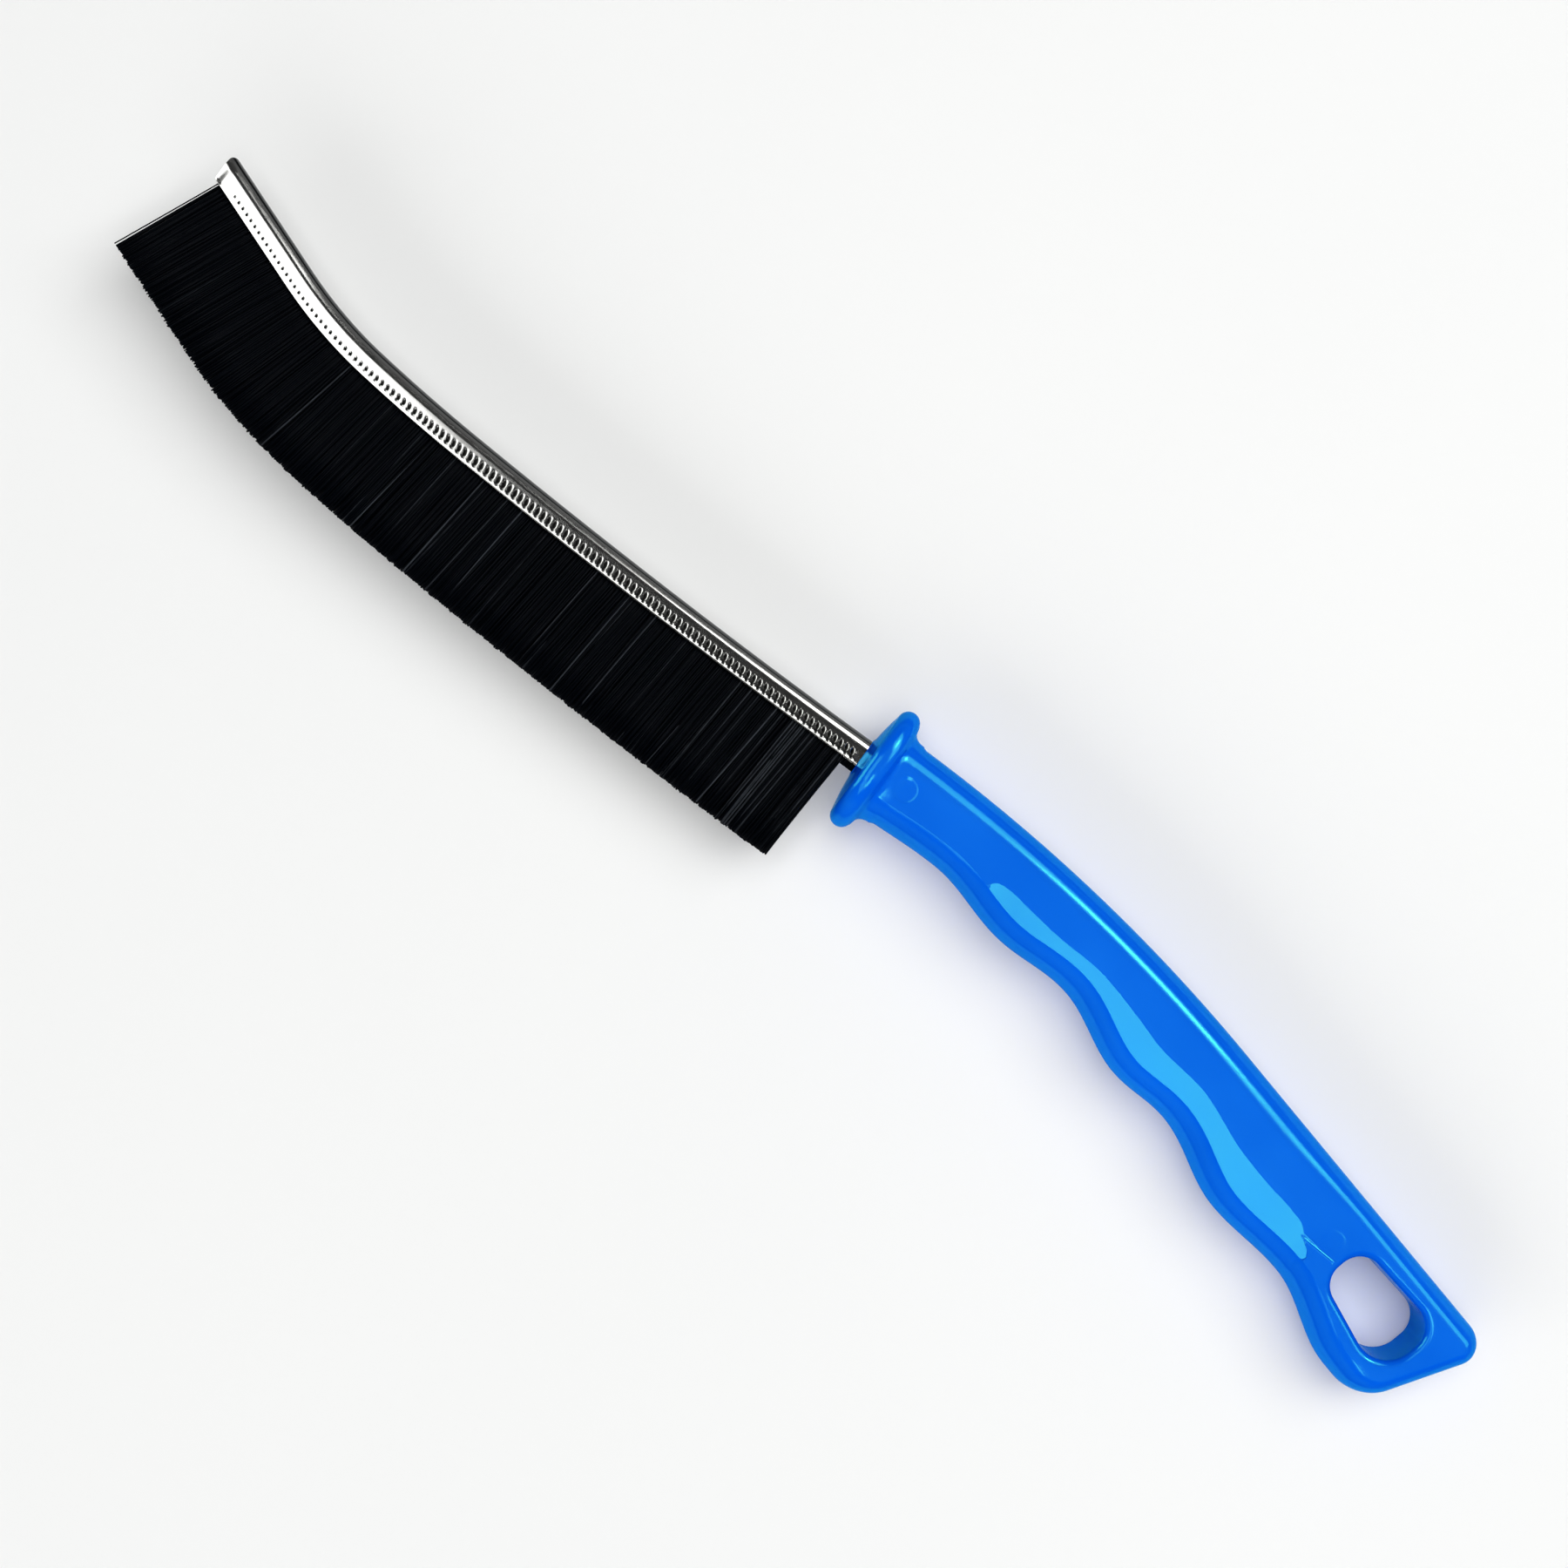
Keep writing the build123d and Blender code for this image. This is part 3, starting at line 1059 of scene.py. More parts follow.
    def knit(self, flat: Array) -> Array:
        """Height of the knit line: a fine ridge, with a lower one beside its start.

        Args:
            flat: places on the face.

        Returns:
            Height at each.
        """
        a, length, along, across = self._knit_run()
        reach, side = (flat - a) @ along, (flat - a) @ across
        on = smooth_step(-0.2, 0.2, reach) * (1 - smooth_step(length - 0.4, length, reach))
        ridge = np.maximum(0, 1 - np.abs(side) / self.knit_half)
        beside = np.abs(side + self.knit_half * (2.9 - 0.4 * reach)) / (self.knit_half * 0.9)
        lower = 0.4 * np.maximum(0, 1 - beside) * (1 - smooth_step(2.5, 4.5, reach))
        return self.knit_height * (ridge + lower) * on

    def _knit_run(self) -> tuple[Array, float, Array, Array]:
        """Measures the knit line.

        Returns:
            Its start, its length, and its directions along and across.
        """
        a, b = np.array(self.knit_line)
        length = np.linalg.norm(b - a)
        along = (b - a) / length
        return a, length, along, np.array((-along[1], along[0]))

    def build(self, finish: Material) -> Piece:
        """Makes the handle and dresses it.

        Args:
            finish: its material.

        Returns:
            The piece.
        """
        shell = Shell()
        points, inward, border = self.outline()
        on_fingers = np.arange(len(points)) > len(points) // 2
        edge = points + inward * border[:, None]
        s, w = edge.T
        on_land = on_fingers & (s > self.land_start) & (s < self.land_end[-1][0]) & (w > self.land_least_width)
        depth = np.where(on_land, self.land_depth(edge), 0.0)
        crisp = np.where(on_fingers, 1 - smooth_step(*self.crisp_fade, s), 0.0)
        creased = on_fingers & (s > self.creased_part[0]) & (s < self.creased_part[1])
        angles = np.pi / 2 * (np.arange(self.border_rings + 1) / self.border_rings) ** self.border_bunch
        tilt = np.radians(np.interp(s, self.tilt_places, self.tilts))
        end = math.radians(self.border_end)
        rings = []
        for angle in angles:
            share = math.sin(angle)
            plan = points + inward * (border * (1 - share))[:, None]
            turned = np.arcsin(np.minimum(1, share * (math.sin(end) - np.sin(tilt)) + np.sin(tilt)))
            arc = 1 - (np.cos(tilt) - np.cos(turned)) / (np.cos(tilt) - math.cos(end))
            level = (self.half - depth) * (math.cos(angle) * (1 - crisp) + arc * crisp)
            rings.append(np.column_stack((self.place(plan), level)))
        hole, hole_out = rounded_loop(list(self.hole_corners), list(self.hole_radii), self.hole_step)
        net = self._net(edge, inward, on_land, creased, hole + hole_out * self.hole_rim, hole_out)
        for side in (1, -1):
            flip = np.array((1, 1, side))
            numbers = []
            for index, ring in enumerate(rings):
                numbers.append(shell.add(self.flared(ring) * flip, creased if index == 0 else None))
            shell.skin(numbers, closed=False)
            self._add_face(shell, net, depth, side)
            self._add_hole(shell, hole, hole_out, side)
        self._add_guard(shell, self._section(rings, net))
        piece = shell.build("moulded_handle")
        piece.data.materials.append(finish)
        return piece

    def _crease_lines(self) -> tuple[Array, Array, Array]:
        """Points of the land's crease.

        Returns:
            The whole crease, its blunt end alone, and the foot of the step at that end.
        """
        start, last = self.crease[0][0], self.crease[-1][0]
        places = np.concatenate((np.arange(start, 27, 0.25), np.arange(27, last, 0.5)))
        crease = np.stack((places, smooth_line(self.crease, places)), axis=1)
        ends = np.array(self.land_end)
        blunt = np.concatenate([ends[:-1] * (1 - t) + ends[1:] * t for t in (0.0, 0.34, 0.67)])
        blunt = blunt[np.argsort(blunt[:, 0])][:-1]
        return np.concatenate((crease, blunt)), blunt, blunt[1:] + np.array((self.step_width, -0.02))

    def _lattice(self) -> Array:
        """Inner places of the net, closer together near the guard and round the knit line.

        Returns:
            The places.
        """
        near = grid(np.arange(0.35, self.neck_zone, 0.4), np.arange(3.2, 11.5, 0.4))
        wide = grid(np.arange(6.4, 134, 1.0), np.arange(2.5, 20.0, 1.0))
        wide[:, 0] += 0.5 * (np.round(wide[:, 1]) % 2)
        close = grid(np.arange(98.5, 109.0, 0.3), np.arange(7.6, 16.0, 0.3))
        close[:, 0] += 0.15 * (np.round(close[:, 1] / 0.3) % 2)
        clear = (wide[:, 0] < 98.2) | (wide[:, 0] > 109.3) | (wide[:, 1] < 7.3)
        return np.concatenate((near, wide[clear], close))

    def _net(self, edge: Array, inward: Array, on_land: Array, creased: Array, rim: Array, rim_out: Array) -> FaceNet:
        """Makes the net over the flat face, with the crease and the hole's rim in it.

        Args:
            edge: outline of the flat face.
            inward: inward direction at each of its points.
            on_land: which of them end the sloped land.
            creased: which of them lie on a crisp edge.
            rim: outline of the hole's rim.
            rim_out: outward directions of the rim.

        Returns:
            The net.
        """
        land = np.flatnonzero(on_land)
        first, last = land[-1], land[0]
        across = np.linspace(edge[-1, 1], edge[0, 1], self.cut_points + 2)[1:-1]
        cut = np.stack((np.zeros(self.cut_points), across), axis=1)
        crease, blunt, step = self._crease_lines()
        marks = self._mark_points()
        fixed = np.concatenate((edge, cut, rim, crease, step))
        still = np.zeros((len(crease) + len(step), 2))
        away = np.concatenate((inward, np.tile((1.0, 0.0), (len(cut), 1)), rim_out, still))
        netted = fixed - away * self.net_gap * (np.arange(len(fixed)) % 2)[:, None]
        on_cut = len(edge) + len(cut)
        on_rim = on_cut + len(rim)
        begin = on_rim + len(crease)
        loop, hole = netted[:on_cut], netted[on_cut:on_rim]
        lattice = self._lattice()
        lattice = lattice[inside(loop, lattice) & ~inside(rim, lattice)]
        both = np.concatenate((fixed, marks))
        gap = np.array([np.min(np.sum((both - p) ** 2, axis=1)) for p in lattice])
        x, y = lattice.T
        start, end, above = self.close_zone
        close = (x < self.close_near) | ((x > start) & (y > above) & (x < end))
        lattice = lattice[gap > np.where(close, *self.clearance)]
        clear = np.array([np.min(np.sum((fixed - p) ** 2, axis=1)) > self.mark_clearance for p in marks])
        flat = np.concatenate((fixed, marks[clear], lattice))
        net = np.concatenate((netted, marks[clear], lattice))
        lines = [(i, (i + 1) % on_cut) for i in range(on_cut)]
        lines += [(on_cut + i, on_cut + (i + 1) % len(rim)) for i in range(len(rim))]
        chain = [first, *range(on_rim, begin), last]
        foot = [begin - len(blunt), *range(begin, begin + len(step)), last - 1]
        lines += [*zip(chain, chain[1:]), *zip(foot, foot[1:])]
        out = delaunay_2d_cdt([Vector(p) for p in net], [(int(a), int(b)) for a, b in lines], [], 0, 1e-6)
        source = np.array([ids[0] if ids else -1 for ids in out[3]])
        spots = np.array([tuple(v) for v in out[0]])
        triangles = np.array([f for f in out[2] if len(f) == 3])
        a, b, c = (spots[triangles[:, i]] for i in range(3))
        middle = (a + b + c) / 3
        area = np.abs((b[:, 0] - a[:, 0]) * (c[:, 1] - a[:, 1]) - (c[:, 0] - a[:, 0]) * (b[:, 1] - a[:, 1]))
        triangles = triangles[inside(loop, middle) & ~inside(hole, middle) & (area > self.least_area)]
        known = source >= 0
        spots[known] = flat[source[known]]
        ring = known & (source < len(edge))
        lined = (source >= on_rim) & (source < begin)
        lined[ring] = creased[source[ring]]
        return FaceNet(spots, triangles, source, ring, (source >= on_cut) & (source < on_rim), lined, cut)

    def _mark_points(self) -> Array:
        """Extra points where the pin marks and the knit line need them.

        Returns:
            The points.
        """
        points = []
        turn = np.linspace(0, 2 * np.pi, 48, endpoint=False)
        for s, w, radius, _ in self.pin_marks:
            for share in (-1.5, -1, -0.5, 0, 0.5, 1, 1.5):
                ring = radius + self.pin_edge * share
                points.append(np.stack((s + ring * np.cos(turn), w + ring * np.sin(turn)), axis=1))
        a, length, along, across = self._knit_run()
        reach = np.arange(-0.5, length, 0.25)
        for offset in np.arange(-4.0, 1.6, 0.5) * self.knit_half:
            points.append(a + reach[:, None] * along + offset * across)
        return np.concatenate(points)

    def _add_face(self, shell: Shell, net: FaceNet, depth: Array, side: int) -> None:
        """Adds the flat face with its land on one side of the handle.

        Args:
            shell: the handle's shell.
            net: net of the face.
            depth: depth of the land at each point of the face's outline.
            side: 1 for the upper face, -1 for the lower one.
        """
        s, w = net.spots.T
        ends = np.array(self.land_end)
        end_of_land = np.interp(w, ends[:, 1], ends[:, 0])
        crease = smooth_line(self.crease, np.clip(s, self.crease[0][0], self.crease[-1][0]))
        on = (s > self.land_start) & (s <= end_of_land + 1e-4) & (w >= crease - 1e-4)
        level = self.half - np.where(on, self.land_depth(net.spots), 0.0)
        if side > 0:
            level = level + self.marks(net.spots)
        level[net.ring] = self.half - depth[net.source[net.ring]]
        level[net.rim] = self.half
        solid = self.flared(np.column_stack((self.place(net.spots), level)))
        solid[:, 2] *= side
        numbers = shell.add(solid, net.lined)
        for triangle in net.triangles:
            shell.faces.append(tuple(numbers[triangle]))

    def _add_hole(self, shell: Shell, plan: Array, outward: Array, side: int) -> None:
        """Adds the hanging hole's rounded rim and its wall down to the middle.

        Args:
            shell: the handle's shell.
            plan: outline of the hole.
            outward: outward direction at each of its points.
            side: 1 for the upper half, -1 for the lower one.
        """
        rings = []
        for turn in np.linspace(math.pi / 2, 0, self.rim_rings):
            level = self.half - self.hole_rim * (1 - math.sin(turn))
            rings.append((plan + outward * self.hole_rim * (1 - math.cos(turn)), level))
        for level in np.linspace(self.half - self.hole_rim, 0, self.hole_wall_rings)[1:]:
            rings.append((plan, level))
        numbers = [shell.add(np.column_stack((self.place(p), np.full(len(p), z * side)))) for p, z in rings]
        shell.skin(numbers, closed=True)

    def _section(self, rings: list, net: FaceNet) -> Array:
        """Closed section of the neck where the guard's flare ends, in order.

        Args:
            rings: rings of the rounded border.
            net: net of the flat face.

        Returns:
            Points of the section.
        """
        back = [ring[0] for ring in reversed(rings)]
        fingers = [ring[-1] for ring in rings]
        cut = np.column_stack((self.place(net.cut), np.full(len(net.cut), self.half)))
        upper = np.array(back + list(cut[::-1]) + fingers)
        lower = upper[::-1][1:-1] * np.array((1, 1, -1))
        return self.flared(np.concatenate((upper, lower)))

    def _add_guard(self, shell: Shell, section: Array) -> None:
        """Adds the guard's bead, its domed front and the socket.

        Args:
            shell: the handle's shell.
            section: section of the neck that the guard starts from.
        """
        angle = np.arctan2(section[:, 2], section[:, 1] - self.neck_middle)
        rim = self.guard_width / 2 - self.guard_bead
        middle = -self.guard_dome - self.guard_bead
        rings = [section]
        for turn in np.radians(np.linspace(*self.bead_turns)):
            radius = self.oval_radius(rim + self.guard_bead * math.sin(turn), angle)
            rings.append(self._oval_ring(middle + self.guard_bead * math.cos(turn), radius, angle))
        dome = (rim**2 + self.guard_dome**2) / (2 * self.guard_dome)
        outer = self.oval_radius(rim, angle)
        slot = self._slot_radius(angle)
        for share in np.linspace(0, 1, self.front_rings)[:-1]:
            radius = outer + (slot + self.slot_edge[0][1] - outer) * share
            height = radius * np.sqrt(np.cos(angle) ** 2 + (np.sin(angle) / self.oval) ** 2)
            rings.append(self._oval_ring(np.sqrt(dome**2 - height**2) - dome, radius, angle))
        for depth, spread in (*self.slot_edge, (self.slot_deep, 0.0)):
            rings.append(self._oval_ring(depth, slot + spread, angle))
        numbers = [shell.add(ring) for ring in rings]
        shell.skin(numbers, closed=True)
        centre = shell.add(np.array(((self.slot_deep, self.neck_middle, 0.0),)))[0]
        last = numbers[-1]
        for index in range(len(last)):
            shell.faces.append((last[index], last[(index + 1) % len(last)], centre))

    def _oval_ring(self, x: object, radius: Array, angle: Array) -> Array:
        """Ring of points round the guard's middle line."""
        across = self.neck_middle + radius * np.cos(angle)
        return np.column_stack((np.broadcast_to(x, angle.shape), across, radius * np.sin(angle)))

    def _slot_radius(self, angle: Array) -> Array:
        """Finds the socket's outline.

        Args:
            angle: angles round the guard's middle line.

        Returns:
            Distance from that line to the outline at each.
        """
        c, s = np.cos(angle), np.abs(np.sin(angle))
        front = np.where(c > 1e-6, (self.slot_front - self.neck_middle) / np.maximum(c, 1e-6), 1e3)
        radius = np.minimum(self.slot_half / np.maximum(s, 1e-6), front)
        centre = self.slot_back + self.slot_half
        lead = self.neck_middle - centre
        round_end = -lead * c + np.sqrt(np.maximum(0, (lead * c) ** 2 - lead**2 + self.slot_half**2))
        return np.where(self.neck_middle + radius * c < centre, round_end, radius)


# ---- strip brush --------------------------------------------------------------


@dataclass(frozen=True)
class StripRun:
    """Centreline of the steel strip as it bends away from the bristles."""

    runs: tuple = ((80.3, 3.5), (20.3, 3.5), (18.2, 13.5))
    reach: float = 138.2
    half_height: float = 2.4

    def places(self, distance: Array) -> tuple[Array, Array]:
        """Follows the centreline.

        Args:
            distance: distances from the guard.

        Returns:
            Points and headings, in radians clockwise.
        """
        distance = np.asarray(distance, float)
        points = np.stack((distance, np.zeros_like(distance)), axis=-1)
        heading = np.zeros_like(distance)
        start, begun, now = np.zeros(2), 0.0, 0.0
        for length, turn in (*self.runs, (1000.0, 0.0)):
            here = distance >= begun
            run = distance[here] - begun
            if turn:
                radius = length / math.radians(turn)
                ends = now + run / radius
                swing = np.stack((np.sin(ends) - math.sin(now), np.cos(ends) - math.cos(now)), axis=-1)
                points[here], heading[here] = start + radius * swing, ends
                last = now + math.radians(turn)
                chord = np.array((math.sin(last) - math.sin(now), math.cos(last) - math.cos(now)))
                start = start + radius * chord
                now = last
            else:
                points[here] = start + run[..., None] * np.array((math.cos(now), -math.sin(now)))
                heading[here] = now
            begun += length
        return points, heading

    def solid(self, distance: Array, side: Array, up: Array) -> Array:
        """Finds points round the strip.

        Args:
            distance: distances from the guard.
            side: places across, to the bristle side.
            up: heights.

        Returns:
            The points.
        """
        points, heading = self.places(distance)
        x = points[..., 0] + side * np.sin(heading)
        y = points[..., 1] + side * np.cos(heading)
        return np.stack((x, y, np.broadcast_to(up, x.shape)), axis=-1)

    def end_at(self, side: Array) -> Array:
        """Finds the square-cut end.

        Args:
            side: places across the strip.

        Returns:
            Distance from the guard at which each of them ends.
        """
        begun = sum(length for length, _ in self.runs)
        point, heading = self.places(np.array([begun]))
        a = heading[0]
        return begun + (self.reach - point[0, 0] - side * math.sin(a)) / math.cos(a)

    def lip_end(self) -> float:
        """Distance from the guard at which the channel's lip ends."""
        return float(self.end_at(np.array([self.half_height]))[0])


@dataclass
class Channel:
    """Folded steel U with a round back and a row of pressed teeth in each side wall."""

    run: StripRun = field(default_factory=StripRun)
    width: float = 4.4
    height: float = 4.8
    wall: float = 0.5
    tang: float = 29.9
    pitch: float = 1.15
    steps: int = 10
    tooth_width: float = 0.66
    tip_width: float = 0.36
    tooth_depth: float = 0.10
    tooth_low: float = 0.05
    tip_low: float = 0.95
    tooth_high: float = 1.50
    first_tooth: float = 1.2
    last_tooth_gap: float = 5.2
    fine_from: float = 70.0
    fine_at: float = 118.0
    slant: float = 0.28
    lip_bulge: float = 0.08
    lip_polish: float = 1.92
    lip_fall: float = 12.0
    end_radius: float = 1.1
    end_zone: float = 3.0
    end_pinch: float = 0.10
    end_round: float = 0.96
    tang_rings: int = 12
    end_rings: int = 26
    wall_points: int = 20

    def section(self) -> Array:
        """Closed section of the folded strip.

        Returns:
            Place across, height and wall sign of each point, in order.
        """
        half, inner, edge = self.width / 2, self.width / 2 - self.wall, self.wall / 2
        lip, centre = self.height / 2, self.width / 2 - self.height / 2
        fall = math.tan(math.radians(self.lip_fall))
        rows = []

        def wall(start: float, end: float, sign: int) -> None:
            """Adds one outer wall, with its lip turned in a little."""
            for y in np.linspace(start, end, self.wall_points):
                rows.append((y, sign * (half - max(0.0, y - self.lip_polish) * fall), float(sign)))

        def arc(x: float, z: float, radius: float, start: float, end: float, count: int) -> None:
            """Adds the inner points of an arc, in degrees."""
            for turn in np.radians(np.linspace(start, end, count))[1:-1]:
                rows.append((x + radius * math.cos(turn), z + radius * math.sin(turn), 0.0))

        wall(lip - edge, centre, 1)
        arc(centre, 0.0, half, 90, 270, 19)
        wall(centre, lip - edge, -1)
        arc(lip - edge, edge - half, edge, -90, 90, 6)
        rows.extend((y, -inner, 0.0) for y in np.linspace(lip - edge, centre, 4))
        arc(centre, 0.0, inner, 270, 90, 9)
        rows.extend((y, inner, 0.0) for y in np.linspace(centre, lip - edge, 4))
        arc(lip - edge, half - edge, edge, -90, 90, 6)
        return np.array(rows)

    def crimp(self, finish: Material) -> GeometryTree:
        """Tree that presses the slanted teeth into the side walls, finer towards the tip, and marks the painted shade
        in the teeth and under the lip.

        Args:
            finish: material of the strip.

        Returns:
            The tree.
        """
        tree = GeometryTree("crimp_teeth", {
            "Pitch": self.pitch, "Tooth Width": self.tooth_width, "Tip Width": self.tip_width,
            "Tooth Depth": self.tooth_depth * MM, "Low": self.tooth_low, "Tip Low": self.tip_low,
            "High": self.tooth_high, "Slant": self.slant, "Bulge": self.lip_bulge * MM,
            "Lip": self.lip_polish, "First": self.first_tooth, "Fine From": self.fine_from,
            "Fine At": self.fine_at, "Last": self.run.lip_end() - self.last_tooth_gap,
        })
        g, value = tree.graph, tree.value
        run, rise, wall = g.stored("run"), g.stored("rise"), g.stored("wall")
        high, lip, first, last = value("High"), value("Lip"), value("First"), value("Last")
        towards_tip = (run, value("Fine From"), value("Fine At"))

        # place in a tooth: off to its side, down from its middle, away as an oval
        lean = g.times(g.minus(rise, 1.0), value("Slant"))
        phase = g.math("FRACT", g.math("DIVIDE", g.plus(run, lean), value("Pitch")))
        off = g.times(g.apart(phase, 0.5), value("Pitch"))
        width = g.rise(*towards_tip, value("Tooth Width"), value("Tip Width"))
        low = g.rise(*towards_tip, value("Low"), value("Tip Low"))
        half_high = g.times(g.minus(high, low), 0.5)
        down = g.math("DIVIDE", g.minus(rise, g.plus(low, half_high)), half_high)
        wide = g.times(width, g.plus(0.5, g.times(down, 0.12)))
        aside = g.math("POWER", g.math("DIVIDE", off, wide), 2.0)
        away = g.math("POWER", g.plus(aside, g.math("POWER", down, 2.0)), 0.5)

        # teeth stand on the side walls only, between the guard and the tip
        begun = g.rise(run, g.minus(first, 0.4), first)
        ended = g.rise(run, g.plus(last, 2.0), last)
        window = g.times(begun, ended, g.math("ABSOLUTE", wall))
        mask = g.times(g.rise(away, 0.98, 0.50), window)
        # painted shade inside each tooth
        dark = g.times(g.rise(away, 1.16, 0.84), window)

        # a darker band under the lip, which is painted shade, and two swollen rows between the teeth
        below = g.rise(rise, g.minus(high, 0.30), high)
        above = g.rise(rise, lip, g.minus(lip, 0.14))
        stretch = g.rise(run, value("Fine At"), value("Fine From"))
        painted_lip_shade = g.times(below, above, g.rise(off, 0.10, 0.42, 0.78, 0.30), stretch, window)
        bump = g.minus(1.0, g.times(g.apart(rise, g.plus(high, 0.18)), 4.0))
        crown = g.minus(1.0, g.times(g.apart(rise, g.plus(low, 0.35)), 2.2))
        rows = g.plus(g.math("MAXIMUM", bump, 0.0), g.times(g.math("MAXIMUM", crown, 0.0), 0.4))
        swell = g.times(rows, g.rise(off, 0.15, 0.52), window, stretch, value("Bulge"))

        press = g.minus(swell, g.times(mask, value("Tooth Depth")))
        # the painted shade of the teeth and of the band under the lip is stored as pressed, for the steel finish
        noted = g.store(tree.start.outputs[0], "pressed", g.math("MAXIMUM", dark, painted_lip_shade))
        move = {"Geometry": noted, "Offset": g.upright(g.times(press, wall))}
        tree.close(g.node("GeometryNodeSetPosition", move).outputs[0], finish)
        return tree

    def build(self, finish: Material) -> Piece:
        """Makes the channel and dresses it.

        Args:
            finish: its material.

        Returns:
            The piece.
        """
        section = self.section()
        side, up, _ = section.T
        rounding = np.clip((-side - self.height / 2 + self.end_radius) / self.end_radius, 0, 1)
        tail = self.run.end_at(side) - self.end_radius * (1 - np.sqrt(1 - rounding**2 * self.end_round))
        last = float(np.min(tail)) - self.end_zone
        tang = np.linspace(-self.tang, -1.0, self.tang_rings)
        first = np.concatenate((tang, np.arange(-0.6, last, self.pitch / self.steps)))
        rings = [np.full(len(section), t) for t in first]
        rings += [last + (tail - last) * share for share in np.linspace(0, 1, self.end_rings)[1:]]
        pinch = [1 - self.end_pinch * smooth_step(-2.2, 0.0, np.mean(r - tail)) for r in rings]
        shell = Shell()
        numbers = [shell.add(self.run.solid(r, side, up * p)) for r, p in zip(rings, pinch)]
        shell.skin(numbers, closed=True)
        shell.cap(numbers[0])
        shell.cap(numbers[-1][::-1])
        base = shell.build("crimped_channel_base", weld=0.0001)
        self._store(base.data, rings, section)
        return self.crimp(finish).run(base, "crimped_channel")

    def _store(self, mesh: bpy.types.Mesh, rings: list, section: Array) -> None:
        """Stores what the teeth and the finish read, and the unrolled map.

        Args:
            mesh: mesh of the strip before it is crimped.
            rings: distances along the strip of each ring's points.
            section: the strip's section.
        """
        side, up, wall = section.T
        centre = self.width / 2 - self.height / 2
        on_wall = np.abs(up) > self.width / 2 - self.wall / 2
        # the round back, where the steel gets a painted dark reflection
        bent = smooth_step(0.50, 0.85, np.where(on_wall, 0.0, (centre - side) / (self.width / 2)))
        run = np.concatenate(rings)
        store_values(mesh, "run", run)
        for name, values in (("rise", side), ("wall", wall), ("painted_dark_reflection", bent)):
            store_values(mesh, name, np.tile(values, len(rings)))
        around = np.concatenate(((0,), np.cumsum(np.hypot(np.diff(side), np.diff(up)))))
        unrolled = np.stack((run, np.tile(around, len(rings))), axis=1)
        layer = mesh.uv_layers.new(name="along_strip")
        corner = np.zeros(len(mesh.loops), np.int32)
        mesh.loops.foreach_get("vertex_index", corner)
        layer.data.foreach_set("uv", unrolled[corner].astype(np.float32).ravel())


@dataclass(frozen=True)
class Stand:
    """How one run of strands stands: lengths past the lip, spread of lean, uneven ends, fixed seed."""

    trim: float
    tip_trim: float
    spread: float
    uneven: float
    seed: int


